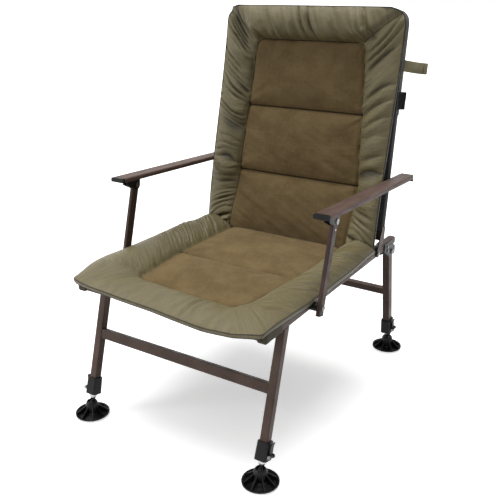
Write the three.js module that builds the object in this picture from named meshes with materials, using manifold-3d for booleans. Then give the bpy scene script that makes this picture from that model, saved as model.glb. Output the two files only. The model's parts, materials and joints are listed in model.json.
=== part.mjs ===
// A folding carp fishing chair: a steel frame with a padded mattress, parallel-linkage armrests,
// rear legs that fold under the seat, and four telescopic feet with tilting mud dishes.
// Millimetres. X runs across the chair with +X on the sitter's left, the chair faces -Y, +Z is up.
// The origin is on the ground, midway between the four feet.
import * as THREE from "three";
import { mergeVertices } from "three/addons/utils/BufferGeometryUtils.js";
import Module from "manifold-3d";

const wasm = await Module();
wasm.setup();

const degree = Math.PI / 180;
const quarterTurn = Math.PI / 2;

// Overall sizes
const baseLength = 724;
const frameWidth = 496;
const railHeight = 350;
const backHeight = 590;
const frontLegLean = 16.1 * degree;
const rearLegLean = 9.8 * degree;
const backLean = 7.5 * degree;
const armSlope = 2.6 * degree;

// Clearances and cuts
const clearance = 0.3;
const softGap = 0.6;
const cutOverrun = 2;
const weldOverlap = 0.6;

// Steel tube and plate
const tubeSize = 20;
const tubeWall = 1.5;
const tubeCorner = 2.5;
const crossbarDepth = 17;
const frontCrossbarHeight = 24;
const rearLegDepth = 25;
const plateThickness = 2.7;
const boltRadius = 4;
const boltHeadRadius = 7;
const boltHeadHeight = 4;
const nutRadius = 6.5;
const nutHeight = 5;
const boltSides = 12;

// Places along the chair
const railFrontSetback = 5;
const kneeToPostPivot = 102;
const hingeToRearPivot = 101.5;
const rearLegTopGap = 1.5;
const railTail = 27.5;
const railCapLength = 6;
const frontCrossbarSetback = 15;
const hingeToRearCrossbar = 21;
const legCrossbarRise = 187;
const rearLegCrossbarRise = 168;

// Feet and telescopic legs, as heights along the leg from the centre of the ball
const ballHeight = 28;
const ballRadius = 10;
const socketGap = 0.4;
const studRadius = 3.2;
const studFlareStart = 14;
const studFlareRadius = 5;
const studCollarStart = 22;
const studCollarRadius = 8.5;
const innerLegStart = 24.5;
const innerLegGap = 0.5;
const innerLegWall = 1.4;
const innerLegLength = 165;
const collarStart = 30;
const collarLength = 42;
const collarLipLength = 10;
const collarTopWall = 3.75;
const collarBottomWall = 5;
const collarCorner = 4;
const leverPivotRise = 42;
const leverStandOff = 9.4;
const leverLength = 31;
const leverWidth = 12;
const leverThickness = 3.2;
const leverBarrelRadius = 3.6;
const leverPinRadius = 2;
const earThickness = 2.6;
const earRadius = 4.8;
const dishRadius = 42;
const dishFlatRadius = 34;
const dishThickness = 3.4;
const dishRimRise = 4.6;
const hubRadius = 15.5;
const hubShoulder = 30;
const hubTop = 38.5;
const hubTopRadius = 11.5;
const mouthRadius = 7.5;
const mouthFlareRadius = 9.5;
const ribCount = 8;
const ribThickness = 2.4;
const ballSteps = 6;
const socketSteps = 6;
const roundSegments = 24;

// Arms
const postLength = 193.1;
const postLean = 15.62 * degree;
const postWidth = 10;
const postDepth = 23;
const postTail = 16;
const armOffset = 34;
const armWidth = 40;
const armThickness = 11;
const armWall = 1.6;
const armEdgeRadius = 4.5;
const armEdgeSteps = 2;
const armTopAbovePivot = 28;
const armFrontReach = 65;
const armRearReach = 65;
const armCapLength = 7;
const armCapRadius = 8;
const bracketWall = 2;
const bracketFront = 37;
const bracketRear = 12;
const bracketDrop = 10;
const bracketNoseRise = 4;
const bracketEye = 8;
const spacerRadius = 10;
const rackLength = 63;
const rackWidth = 16;
const rackDrop = 6;
const notchPitch = 12;
const notchCount = 5;
const cheekForward = 54;
const cheekRearward = 23;
const cheekShoulder = 20;
const cheekDrop = 11;
const recliningPinRadius = 3.5;
const pinClearance = 0.4;

// Back frame
const backTubeSetback = 21;
const backTubeStart = 34;
const backBendRadius = 45;
const backBendSteps = 5;
const hingeEyeRadius = 10;
const hingePlateTop = 70;
const hingeEyeEnd = 324 * degree;
const backCrossbarSize = 16;
const backCrossbarRise = 50;

// Slings
const slingThickness = 1.2;
const seatSlingSag = 29;
const seatSlingFade = 110;
const seatSlingHem = 8;
const backSlingSag = 14;
const backSlingStart = 62;
const backSlingRows = 4;
const backSlingTopGap = 62;
const sleeveAbovePin = 14.8;
const sleeveWall = 1;

// Mattress
const seatPadOverhang = 20;
const seatPadFrontOverhang = 15;
const seatPadFrontReach = 24;
const seatPadCornerSetback = 12;
const seatPanelRise = 3;
const seatFrontBorder = 117;
const seatRearBorder = 93;
const seatPanelSetback = 81;
const seatPanelSeam = 290;
const seatRollRise = 38;
const seatFrontRollRise = 20;
const seatFrontDroop = 22;
const seatFrontSag = 7;
const padEdgeInset = 5;
const padEdgeDrop = 9;
const railContactShare = 0.95;
const seamDepth = 5;
const seamWidth = 16;
const panelCrown = 4;
const creaseToHinge = 46;
const backPadWaistOverhang = 13;
const backPadTopOverhang = 16;
const backPadWaistRise = 250;
const backPadOverTop = 23;
const backPadCorner = 46;
const backPadReachTop = 3;
const backPadReachBottom = 46;
const backPadThickness = 28;
const backPadEdgeThickness = 24;
const backPanelDepthBottom = 44;
const backPanelDepthTop = 7;
const backPanelFade = 170;
const backLowerBorder = 77;
const backUpperBorder = 104;
const backTopBorder = 81;
const backPanelCorner = 34;
const backSeamRises = [170, 353];
const backTopRollRise = 14;

// Small soft pieces
const strapReach = 66;
const strapHeight = 28;
const strapThickness = 2.4;
const strapBelowTop = 108;
const strapDrop = 7;
const strapYaw = 51.6 * degree;
const labelLength = 50;
const labelHeight = 44;
const labelThickness = 1.2;
const labelBelowTop = 194;
const labelRearShift = 18;

// Heights and places that follow from the sizes above
const frontFootY = -baseLength / 2;
const rearFootY = baseLength / 2;
const railX = frameWidth / 2;
const railTop = railHeight + tubeSize / 2;
const railBottom = railHeight - tubeSize / 2;
const railOuterX = railX + tubeSize / 2;
const railInnerX = railX - tubeSize / 2;
const kneeY = frontFootY + (railHeight - ballHeight) * Math.tan(frontLegLean);
const railFrontY = frontFootY + railFrontSetback;
const rearPivotZ = railBottom - rearLegTopGap - rearLegDepth / 2;
const rearPivotY = rearFootY - (rearPivotZ - ballHeight) * Math.tan(rearLegLean);
const railRearY = rearPivotY + railTail;
const hingeY = rearPivotY - hingeToRearPivot;
const postPivotY = kneeY + kneeToPostPivot;
const hingePlateX = railOuterX + clearance;
const armCentre = railX + armOffset;
const armLength = hingeY - postPivotY;
const innerLegSize = tubeSize - 2 * tubeWall - 2 * innerLegGap;
const collarTopSize = tubeSize + 2 * collarTopWall;
const collarBottomSize = tubeSize + 2 * collarBottomWall;
const leverPivotReach = tubeSize / 2 + leverStandOff;
const creaseY = hingeY - creaseToHinge;
const seatPanelTop = railTop + seatPanelRise;
const seatPadHalfWidth = railX + seatPadOverhang;
const seatPadFrontHalfWidth = railX + seatPadFrontOverhang;
const seatPanelFrontHalf = seatPadFrontHalfWidth - seatFrontBorder;
const seatPanelRearHalf = seatPadHalfWidth - seatRearBorder;
const backSlingEnd = backHeight - backSlingTopGap;
const backPadTopRise = backHeight + backPadOverTop;
const backPadWaistHalf = railX + backPadWaistOverhang;
const backPadTopHalf = railX + backPadTopOverhang;
const backPanelHalf = backPadWaistHalf - backLowerBorder;
const backPanelTopHalf = backPadTopHalf - backUpperBorder;
const backPanelTop = backPadTopRise - backTopBorder;

function finish(colour, roughness, metalness) {
  return new THREE.MeshStandardMaterial({ color: colour, roughness, metalness });
}

const finishes = {
  frame: () => finish(0x4a3f38, 0.45, 0.7),
  armrest: () => finish(0x6f5a4e, 0.4, 0.7),
  bracket: () => finish(0x6e6e6b, 0.45, 0.8),
  steel: () => finish(0xb9babb, 0.3, 1),
  plastic: () => finish(0x232325, 0.55, 0),
  sling: () => finish(0x1d1d1b, 0.9, 0),
  mattress: () => finish(0x6f6847, 0.85, 0),
  webbing: () => finish(0xa3967a, 0.9, 0),
};

function named(name, geometry, material) {
  const mesh = new THREE.Mesh(geometry, material);
  mesh.name = name;
  return mesh;
}

// Joining and cutting of closed shapes
function solidOf(geometry) {
  const plain = geometry.clone();
  plain.deleteAttribute("normal");
  plain.deleteAttribute("uv");
  const merged = mergeVertices(plain);
  return new wasm.Manifold(
    new wasm.Mesh({
      numProp: 3,
      vertProperties: new Float32Array(merged.attributes.position.array),
      triVerts: new Uint32Array(merged.index.array),
    }),
  );
}

function geometryOf(solid) {
  const mesh = solid.getMesh();
  const geometry = new THREE.BufferGeometry();
  const places = new Float32Array(mesh.vertProperties);
  geometry.setAttribute("position", new THREE.BufferAttribute(places, 3));
  geometry.setIndex(new THREE.BufferAttribute(new Uint32Array(mesh.triVerts), 1));
  geometry.computeVertexNormals();
  return geometry;
}

function join(first, ...others) {
  return geometryOf(others.reduce((sum, other) => sum.add(solidOf(other)), solidOf(first)));
}

function cut(first, ...cutters) {
  return geometryOf(cutters.reduce((rest, cutter) => rest.subtract(solidOf(cutter)), solidOf(first)));
}

// Outlines and bars
function roundedRectangle(width, height, radius) {
  const x = width / 2 - radius;
  const y = height / 2 - radius;
  const shape = new THREE.Shape();
  shape.moveTo(x + radius, y);
  shape.absarc(x, y, radius, 0, quarterTurn);
  shape.absarc(-x, y, radius, quarterTurn, 2 * quarterTurn);
  shape.absarc(-x, -y, radius, 2 * quarterTurn, 3 * quarterTurn);
  shape.absarc(x, -y, radius, 3 * quarterTurn, 4 * quarterTurn);
  return shape;
}

function rectangularHole(width, height) {
  const hole = new THREE.Path();
  hole.moveTo(-width / 2, -height / 2);
  hole.lineTo(-width / 2, height / 2);
  hole.lineTo(width / 2, height / 2);
  hole.lineTo(width / 2, -height / 2);
  hole.closePath();
  return hole;
}

function prism(shape, length, curveSegments = 1) {
  return new THREE.ExtrudeGeometry(shape, { depth: length, bevelEnabled: false, curveSegments });
}

function outline(points) {
  return new THREE.Shape(points.map(([x, y]) => new THREE.Vector2(x, y)));
}

function tube(width, height, length) {
  const shape = roundedRectangle(width, height, tubeCorner);
  shape.holes.push(rectangularHole(width - 2 * tubeWall, height - 2 * tubeWall));
  return prism(shape, length);
}

function box(width, depth, height) {
  return new THREE.BoxGeometry(width, depth, height);
}

// A bar drawn along Z is turned to run along X or along Y
function alongX(geometry) {
  return geometry.rotateY(quarterTurn);
}

function alongY(geometry) {
  return geometry.rotateX(-quarterTurn);
}

function rod(radius, length, sides = boltSides) {
  return new THREE.CylinderGeometry(radius, radius, length, sides).rotateZ(quarterTurn);
}

// A plate drawn in (Y, Z) and thickened along X
function sidePlate(shape, thickness, curveSegments = 4) {
  const across = new THREE.Vector3(0, 1, 0);
  const up = new THREE.Vector3(0, 0, 1);
  const out = new THREE.Vector3(1, 0, 0);
  const turned = new THREE.Matrix4().makeBasis(across, up, out);
  return prism(shape, thickness, curveSegments).applyMatrix4(turned);
}

// A bolt along X with its nut at one end and its head at the other
function bolt(nutFace, headFace) {
  const profile = [
    [0, nutFace - nutHeight],
    [nutRadius, nutFace - nutHeight],
    [nutRadius, nutFace],
    [boltRadius, nutFace],
    [boltRadius, headFace],
    [boltHeadRadius, headFace],
    [boltHeadRadius, headFace + boltHeadHeight / 2],
    [boltHeadRadius / 2, headFace + boltHeadHeight],
    [0, headFace + boltHeadHeight],
  ];
  return lathe(profile, boltSides).rotateZ(-quarterTurn);
}

function lathe(profile, segments = roundSegments) {
  return new THREE.LatheGeometry(profile.map(([r, y]) => new THREE.Vector2(r, y)), segments);
}

// A closed slab between two surfaces, each a function of shares across and along
function slab(columns, rows, front, back) {
  const places = [];
  const faces = [];
  const width = columns.length;
  const count = width * rows.length;
  [front, back].forEach((surface) => {
    rows.forEach((along) => columns.forEach((across) => places.push(...surface(across, along))));
  });
  const quad = (a, b, c, d) => faces.push(a, b, c, a, c, d);
  for (let j = 0; j + 1 < rows.length; j += 1) {
    for (let i = 0; i + 1 < width; i += 1) {
      const a = j * width + i;
      quad(a, a + 1, a + width + 1, a + width);
      quad(count + a, count + a + width, count + a + width + 1, count + a + 1);
    }
  }
  const rim = [];
  for (let i = 0; i + 1 < width; i += 1) rim.push(i);
  for (let j = 0; j + 1 < rows.length; j += 1) rim.push(j * width + width - 1);
  for (let i = width - 1; i > 0; i -= 1) rim.push((rows.length - 1) * width + i);
  for (let j = rows.length - 1; j > 0; j -= 1) rim.push(j * width);
  rim.forEach((a, k) => {
    const b = rim[(k + 1) % rim.length];
    quad(a, count + a, count + b, b);
  });
  const geometry = new THREE.BufferGeometry();
  geometry.setAttribute("position", new THREE.Float32BufferAttribute(places, 3));
  geometry.setIndex(faces);
  geometry.computeVertexNormals();
  return geometry;
}

function smooth(value) {
  const t = THREE.MathUtils.clamp(value, 0, 1);
  return t * t * (3 - 2 * t);
}

function evenShares(count) {
  return Array.from({ length: count + 1 }, (_, i) => i / count);
}

function bothSides(half) {
  return [...half.slice(1).reverse().map((value) => -value), ...half];
}

function between(low, high, shares) {
  return shares.map((share) => low + (high - low) * share);
}

// Shares across the cloth, closer together over the rolled borders and towards the held edges
const padColumnShares = bothSides([0, 0.2, 0.4, 0.54, 0.6, 0.65, 0.7, 0.79, 0.87, 0.93, 0.975, 1]);
const halfSlingShares = [0, 0.2, 0.4, 0.6, 0.8, 0.92, 1];

// Shares along the mattress, closer together over the rolls
const noseRowShares = [0, 0.25, 0.6, 1];
const quarterShares = [0.25, 0.5, 0.75];
const rearRowShares = [0.2, 0.4, 0.6, 0.8, 1];
const lumbarRowShares = [0, 0.09, 0.2, 0.42, 0.7];
const headRowShares = [0.3, 0.44, 0.6, 0.75, 0.88, 0.96, 1];
const crownShare = 0.7;
const sideSeamShare = 0.4;
const frontSeamShare = 0.5;
const undersideShare = 0.6;
const undersideNoseShare = 0.25;
const headReachShare = 1 / 3;

// Seat frame
function seatRail() {
  const length = railRearY - railCapLength - clearance - railFrontY;
  const rail = alongY(tube(tubeSize, tubeSize, length)).translate(0, railFrontY, 0);
  const hole = (y) => rod(boltRadius + clearance, tubeSize + 2 * cutOverrun).translate(0, y, 0);
  const mesh = named("seat_rail", cut(rail, hole(postPivotY), hole(hingeY)), finishes.frame());
  mesh.position.set(railX, 0, railHeight);
  return mesh;
}

function railEndCap() {
  const plugSize = tubeSize - 2 * tubeWall - 2 * clearance;
  const head = alongY(prism(roundedRectangle(tubeSize, tubeSize, tubeCorner * 2), railCapLength));
  const plug = alongY(prism(roundedRectangle(plugSize, plugSize, tubeWall), tubeSize));
  plug.translate(0, weldOverlap - tubeSize, 0);
  const mesh = named("rail_end_cap", join(head, plug), finishes.plastic());
  mesh.position.set(railX, railRearY - railCapLength, railHeight);
  return mesh;
}

function crossbar(name, height, depth, y, z, lean) {
  const length = 2 * (railInnerX - clearance);
  const bar = alongX(tube(height, depth, length)).translate(-length / 2, 0, 0);
  const mesh = named(name, bar, finishes.frame());
  mesh.position.set(0, y, z);
  mesh.rotation.x = lean;
  return mesh;
}

// Legs, drawn upwards from the centre of the foot's ball
function legGroup(footY, lean) {
  const group = new THREE.Group();
  group.position.set(railX, footY, ballHeight);
  group.rotation.x = lean;
  return group;
}

function frontLeg() {
  const start = collarStart + collarLipLength + clearance;
  const topCut = (railBottom - clearance - ballHeight) / Math.cos(frontLegLean);
  const leg = tube(tubeSize, tubeSize, topCut + tubeSize - start).translate(0, 0, start);
  const cutter = box(3 * tubeSize, 3 * tubeSize, 3 * tubeSize).translate(0, 0, 1.5 * tubeSize);
  cutter.rotateX(frontLegLean).translate(0, 0, topCut);
  return named("front_leg", cut(leg, cutter), finishes.frame());
}

function rearLeg() {
  const start = collarStart + collarLipLength + clearance;
  const pivot = (rearPivotZ - ballHeight) / Math.cos(rearLegLean);
  const leg = tube(tubeSize, rearLegDepth, pivot + rearLegDepth - start).translate(0, 0, start);
  const radius = rearLegDepth / 2;
  const width = tubeSize + 2 * cutOverrun;
  const above = box(width, 2 * rearLegDepth, 2 * rearLegDepth).translate(0, 0, pivot + rearLegDepth);
  const roundEnd = cut(above, rod(radius, width + cutOverrun, roundSegments).translate(0, 0, pivot));
  const hole = rod(boltRadius + clearance, width).translate(0, 0, pivot);
  return named("rear_leg", cut(leg, roundEnd, hole), finishes.frame());
}

function legCollar(name, legDepth) {
  const extra = legDepth - tubeSize;
  const taper = (share) => collarBottomSize + (collarTopSize - collarBottomSize) * share;
  const section = (share) => {
    const half = taper(share) / 2;
    const deep = half + extra / 2;
    return [
      [half, deep - collarCorner],
      [half - collarCorner, deep],
      [-half + collarCorner, deep],
      [-half, deep - collarCorner],
      [-half, -deep + collarCorner],
      [-half + collarCorner, -deep],
      [half - collarCorner, -deep],
      [half, -deep + collarCorner],
    ];
  };
  const body = prism(outline(section(0)), collarLength);
  const places = body.getAttribute("position");
  const topSection = (collarTopSize + extra) / (collarBottomSize + extra);
  for (let i = 0; i < places.count; i += 1) {
    if (places.getZ(i) > collarLength / 2) {
      places.setX(i, places.getX(i) * (collarTopSize / collarBottomSize));
      places.setY(i, places.getY(i) * topSection);
    }
  }
  body.translate(0, 0, collarStart);
  const ears = [-1, 1].map((side) => {
    const place = side * (leverWidth / 2 + clearance + earThickness / 2);
    const reach = leverPivotReach - tubeSize / 2 - weldOverlap;
    const eye = new THREE.CylinderGeometry(earRadius, earRadius, earThickness, boltSides);
    const arm = box(reach, earThickness, 2 * earRadius).translate(-reach / 2, 0, 0);
    return join(eye, arm).translate(leverPivotReach, place, leverPivotRise);
  });
  const bore = (size, depth, start, length) =>
    box(size, depth, length).translate(0, 0, start + length / 2);
  const outerBore = tubeSize + 2 * clearance;
  const innerBore = innerLegSize + 2 * clearance;
  const pinLength = leverWidth + 2 * earThickness + 2 * cutOverrun;
  const pinHole = new THREE.CylinderGeometry(
    leverPinRadius + clearance,
    leverPinRadius + clearance,
    pinLength,
    boltSides,
  ).translate(leverPivotReach, 0, leverPivotRise);
  const shape = cut(
    join(body, ...ears),
    bore(outerBore, outerBore + extra, collarStart + collarLipLength, collarLength),
    bore(innerBore, innerBore, collarStart - cutOverrun, collarLength / 2),
    pinHole,
  );
  return named(name, shape, finishes.plastic());
}

function clampLever(name) {
  const barrel = new THREE.CylinderGeometry(leverBarrelRadius, leverBarrelRadius, leverWidth, boltSides);
  const pinLength = leverWidth + 2 * (clearance + earThickness);
  const pin = new THREE.CylinderGeometry(leverPinRadius, leverPinRadius, pinLength, boltSides);
  const bendShare = 0.7;
  const tipOutShare = 1.8;
  const tipInShare = 0.8;
  const inner = -leverBarrelRadius;
  const handle = outline([
    [inner, 0],
    [inner + leverThickness, 0],
    [inner + leverThickness, leverLength * bendShare],
    [inner + leverThickness * tipOutShare, leverLength],
    [inner + leverThickness * tipInShare, leverLength],
    [inner, leverLength * bendShare + leverThickness / 2],
  ]);
  const grip = prism(handle, leverWidth).rotateX(quarterTurn).translate(0, leverWidth / 2, 0);
  const mesh = named(name, join(barrel, pin, grip), finishes.plastic());
  mesh.position.set(leverPivotReach, 0, leverPivotRise);
  return mesh;
}

function innerLeg(name) {
  const lowest = -quarterTurn;
  const highest = Math.acos(studRadius / ballRadius);
  const ballProfile = evenShares(ballSteps).map((share) => {
    const angle = lowest + (highest - lowest) * share;
    const radius = share > 0 ? ballRadius * Math.cos(angle) : 0;
    return [radius, ballRadius * Math.sin(angle)];
  });
  const stud = lathe(
    [
      ...ballProfile,
      [studRadius, studFlareStart],
      [studFlareRadius, studFlareStart],
      [studCollarRadius, studCollarStart],
      [studCollarRadius, innerLegStart + weldOverlap],
      [0, innerLegStart + weldOverlap],
    ],
    boltSides,
  ).rotateX(quarterTurn);
  const bar = prism(roundedRectangle(innerLegSize, innerLegSize, tubeCorner), innerLegLength);
  bar.translate(0, 0, innerLegStart);
  const boreSize = innerLegSize - 2 * innerLegWall;
  const bore = box(boreSize, boreSize, innerLegLength).translate(0, 0, innerLegStart + innerLegLength / 2);
  bore.translate(0, 0, ballRadius);
  return named(name, join(cut(bar, bore), stud), finishes.steel());
}

function mudFoot(name) {
  const socketRadius = ballRadius + socketGap;
  const mouthAngle = Math.acos(mouthRadius / socketRadius);
  const socket = evenShares(socketSteps).map((share) => {
    const angle = mouthAngle - (mouthAngle + quarterTurn) * share;
    const radius = share < 1 ? socketRadius * Math.cos(angle) : 0;
    return [radius, ballHeight + socketRadius * Math.sin(angle)];
  });
  const profile = [
    [0, 0],
    [dishFlatRadius, 0],
    [dishRadius, dishRimRise],
    [dishRadius, dishRimRise + dishThickness],
    [dishFlatRadius, dishThickness],
    [hubRadius + dishThickness, 2 * dishThickness],
    [hubRadius, 3 * dishThickness],
    [hubRadius, hubShoulder],
    [(hubRadius + hubTopRadius) / 2, (hubShoulder + 2 * hubTop) / 3],
    [hubTopRadius, hubTop],
    [mouthFlareRadius, hubTop],
    ...socket,
  ];
  const dish = lathe(profile).rotateX(quarterTurn);
  const ribs = evenShares(ribCount).slice(1).map((share) => {
    const inner = hubRadius - weldOverlap;
    const outer = dishRadius - dishThickness;
    const rib = outline([
      [inner, dishThickness / 2],
      [outer, dishThickness / 2],
      [outer, 2 * dishThickness],
      [inner, hubShoulder - dishThickness],
    ]);
    const plate = prism(rib, ribThickness).translate(0, 0, -ribThickness / 2);
    return plate.rotateX(quarterTurn).rotateZ(share * 4 * quarterTurn);
  });
  return named(name, join(dish, ...ribs), finishes.plastic());
}

// Rear leg bracket, around the leg's pivot under the tail of the rail
function rearLegBracket() {
  const railCover = railTop - rearPivotZ - 3 * clearance;
  const railEdge = railBottom - rearPivotZ;
  const shape = new THREE.Shape();
  shape.moveTo(-cheekForward, railEdge);
  shape.lineTo(-cheekShoulder, -cheekDrop);
  shape.lineTo(cheekRearward, -cheekDrop);
  shape.lineTo(cheekRearward, cheekDrop / 2);
  const roundTop = cheekDrop + plateThickness;
  shape.quadraticCurveTo(cheekRearward, cheekDrop, cheekShoulder - plateThickness, roundTop);
  shape.lineTo(-cheekShoulder, railCover);
  shape.lineTo(-cheekForward, railCover);
  const cheek = (x) => sidePlate(shape, plateThickness, 2).translate(x, 0, 0);
  const outer = tubeSize / 2 + clearance;
  const webWidth = 2 * outer + 2 * weldOverlap;
  const webHeight = cheekDrop + plateThickness;
  const web = box(webWidth, plateThickness, webHeight).translate(
    0,
    rearLegDepth / 2 + clearance + plateThickness / 2,
    plateThickness - webHeight / 2,
  );
  web.rotateX(rearLegLean);
  const hole = rod(boltRadius + clearance, 4 * tubeSize);
  const bracket = cut(join(cheek(outer), cheek(-outer - plateThickness), web), hole);
  const mesh = named("rear_leg_bracket", bracket, finishes.bracket());
  mesh.position.set(railX, rearPivotY, rearPivotZ);
  return mesh;
}

function rearLegPivotBolt() {
  const face = tubeSize / 2 + clearance + plateThickness + clearance;
  const mesh = named("rear_leg_pivot_bolt", bolt(-face, face), finishes.steel());
  mesh.position.set(railX, rearPivotY, rearPivotZ);
  return mesh;
}

// Arms
function postSpacer() {
  const length = armCentre - postWidth / 2 - railOuterX - 2 * clearance;
  const bore = rod(boltRadius + clearance, length + cutOverrun);
  const spacer = cut(rod(spacerRadius, length, roundSegments), bore);
  const mesh = named("arm_post_spacer", spacer, finishes.plastic());
  mesh.position.set(railOuterX + clearance + length / 2, postPivotY, railHeight);
  return mesh;
}

function armPost() {
  const length = postTail + postLength + postDepth / 2;
  const post = tube(postWidth, postDepth, length).translate(0, 0, -postTail);
  const width = postWidth + 2 * cutOverrun;
  const above = box(width, 2 * postDepth, 2 * postDepth).translate(0, 0, postLength + postDepth);
  const rounding = rod(postDepth / 2, width + cutOverrun, roundSegments).translate(0, 0, postLength);
  const roundEnd = cut(above, rounding);
  const lowerHole = rod(boltRadius + clearance, width);
  const upperHole = rod(boltRadius + clearance, width).translate(0, 0, postLength);
  const mesh = named("arm_post", cut(post, roundEnd, lowerHole, upperHole), finishes.frame());
  mesh.position.set(armCentre, postPivotY, railHeight);
  mesh.rotation.x = -postLean;
  return mesh;
}

function postBolt() {
  const mesh = named(
    "arm_post_bolt",
    bolt(railInnerX - clearance, armCentre + postWidth / 2 + clearance),
    finishes.steel(),
  );
  mesh.position.set(0, postPivotY, railHeight);
  return mesh;
}

// The armrest group has its origin on the pivot at the top of the post and Y along the armrest
function armrestGroup() {
  const group = new THREE.Group();
  const y = postPivotY + postLength * Math.sin(postLean);
  const z = railHeight + postLength * Math.cos(postLean);
  group.position.set(armCentre, y, z);
  group.rotation.x = -armSlope;
  return group;
}

const armPinY = armLength * Math.cos(armSlope);
const armPinZ = armLength * Math.sin(armSlope);
const armUnderside = armTopAbovePivot - armThickness;
const armRearEnd = armPinY + armRearReach;
const rackRearEnd = armRearEnd - armCapLength;
const rackStart = rackRearEnd - rackLength;

function notchCutters(lowest) {
  const radius = recliningPinRadius + pinClearance;
  return Array.from({ length: notchCount }, (_, i) => {
    const y = armPinY + i * notchPitch;
    const width = armWidth + 2 * cutOverrun;
    const slot = box(width, 2 * radius, armPinZ - lowest).translate(0, y, (armPinZ + lowest) / 2);
    return join(rod(radius, width).translate(0, y, armPinZ), slot);
  });
}

// Flat-topped outline of the armrest with rounded long edges, from one foot of it round to the other
function armOutline() {
  const half = armWidth / 2 - armEdgeRadius;
  const corner = evenShares(armEdgeSteps).map((share) => {
    const angle = share * quarterTurn;
    const rise = armThickness - armEdgeRadius + armEdgeRadius * Math.sin(angle);
    return [half + armEdgeRadius * Math.cos(angle), rise];
  });
  const mirrored = corner.slice().reverse().map(([x, y]) => [-x, y]);
  return [[armWidth / 2, 0], ...corner, ...mirrored, [-armWidth / 2, 0]];
}

function armrest() {
  const length = rackRearEnd - clearance + armFrontReach - armCapLength - clearance;
  const half = armWidth / 2;
  const channel = outline([
    [-half + armWall, 0],
    [-half + armWall, armThickness - armEdgeRadius],
    [-half + armEdgeRadius, armThickness - armWall],
    [half - armEdgeRadius, armThickness - armWall],
    [half - armWall, armThickness - armEdgeRadius],
    [half - armWall, 0],
    ...armOutline(),
  ]);
  const bar = alongY(prism(channel, length).rotateZ(2 * quarterTurn));
  bar.translate(0, armCapLength + clearance - armFrontReach, armUnderside);
  const innerSide = box(half, 2 * armRearEnd, 2 * armTopAbovePivot).translate(-half, 0, 0);
  const notches = notchCutters(armUnderside - cutOverrun).map((cutter) =>
    geometryOf(solidOf(cutter).intersect(solidOf(innerSide))),
  );
  return named("armrest", cut(bar, ...notches), finishes.armrest());
}

function insideArmrest(block, underside) {
  const profile = [...armOutline().slice(1, -1), [-armWidth / 2, underside - armUnderside]];
  const bar = prism(outline([[armWidth / 2, underside - armUnderside], ...profile]), 2 * armRearEnd);
  const around = alongY(bar.rotateZ(2 * quarterTurn)).translate(0, -armRearEnd / 2, armUnderside);
  return geometryOf(solidOf(block).intersect(solidOf(around)));
}

function armFrontCap() {
  const shape = new THREE.Shape();
  const half = armWidth / 2;
  shape.moveTo(-half, armCapLength);
  shape.lineTo(-half, 0);
  const nose = armCapLength - armCapRadius;
  shape.quadraticCurveTo(-half, nose, armCapRadius - half, nose);
  shape.lineTo(half - armCapRadius, nose);
  shape.quadraticCurveTo(half, nose, half, 0);
  shape.lineTo(half, armCapLength);
  const block = prism(shape, armThickness, 4).translate(0, -armFrontReach, armUnderside);
  const cap = insideArmrest(block, armUnderside);
  const plugWidth = armWidth - 2 * armEdgeRadius;
  const plugHeight = armThickness - armWall - clearance;
  const plug = box(plugWidth, armWidth / 2, plugHeight).translate(
    0,
    armCapLength - weldOverlap + armWidth / 4 - armFrontReach,
    armUnderside + plugHeight / 2,
  );
  return named("armrest_front_cap", join(cap, plug), finishes.plastic());
}

function reclineRack() {
  const top = armTopAbovePivot - armEdgeRadius;
  const bottom = armUnderside - rackDrop;
  const inner = -armWidth / 2 + armWall + clearance;
  const length = rackRearEnd - rackStart;
  const bar = box(rackWidth, length, top - bottom).translate(
    inner + rackWidth / 2,
    rackStart + length / 2,
    (top + bottom) / 2,
  );
  const half = armWidth / 2;
  const tip = new THREE.Shape();
  tip.moveTo(half, -weldOverlap + clearance);
  tip.lineTo(half, 0);
  tip.quadraticCurveTo(half, armCapLength, half - armCapRadius, armCapLength);
  tip.lineTo(armCapRadius - half, armCapLength);
  tip.quadraticCurveTo(-half, armCapLength, -half, 0);
  tip.lineTo(-half, -weldOverlap + clearance);
  const block = prism(tip, armTopAbovePivot - bottom, 4).translate(0, rackRearEnd, bottom);
  const rack = cut(join(bar, insideArmrest(block, bottom)), ...notchCutters(bottom - cutOverrun));
  return named("recline_rack", rack, finishes.plastic());
}

function armBracket() {
  const inner = postWidth / 2 + clearance;
  const outer = inner + bracketWall;
  const top = armTopAbovePivot - armWall - clearance;
  const height = top + bracketDrop;
  const length = bracketFront + bracketRear;
  const side = outline([
    [-bracketFront, top],
    [-bracketFront, bracketNoseRise],
    [-bracketEye, -bracketDrop],
    [bracketEye, -bracketDrop],
    [bracketRear, bracketEye - bracketDrop],
    [bracketRear, top],
  ]);
  const block = sidePlate(side, 2 * outer).translate(-outer, 0, 0);
  const slot = box(2 * inner, length + 2 * cutOverrun, height).translate(
    0,
    (bracketRear - bracketFront) / 2,
    top - bracketWall - height / 2,
  );
  const hole = rod(boltRadius + clearance, 2 * outer + 2 * cutOverrun);
  return named("arm_bracket", cut(block, slot, hole), finishes.plastic());
}

function armPivotPin() {
  const face = postWidth / 2 + clearance + bracketWall + clearance;
  const head = boltHeadRadius;
  const pin = lathe(
    [
      [0, -face - bracketWall],
      [head, -face - bracketWall],
      [head, -face],
      [boltRadius, -face],
      [boltRadius, face],
      [head, face],
      [head, face + bracketWall / 2],
      [head / 2, face + bracketWall],
      [0, face + bracketWall],
    ],
    boltSides,
  );
  return named("arm_pivot_pin", pin.rotateZ(-quarterTurn), finishes.steel());
}

// Back frame, drawn upwards from the back hinge
function backGroup() {
  const group = new THREE.Group();
  group.position.set(0, hingeY, railHeight);
  group.rotation.x = -backLean;
  return group;
}

const backTubeEnd = backHeight - backBendRadius - tubeCorner;
const recliningPinY = postLength * Math.sin(postLean - backLean);
const recliningPinRise = postLength * Math.cos(postLean - backLean);
const outerTubeX = railX + socketGap;

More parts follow.
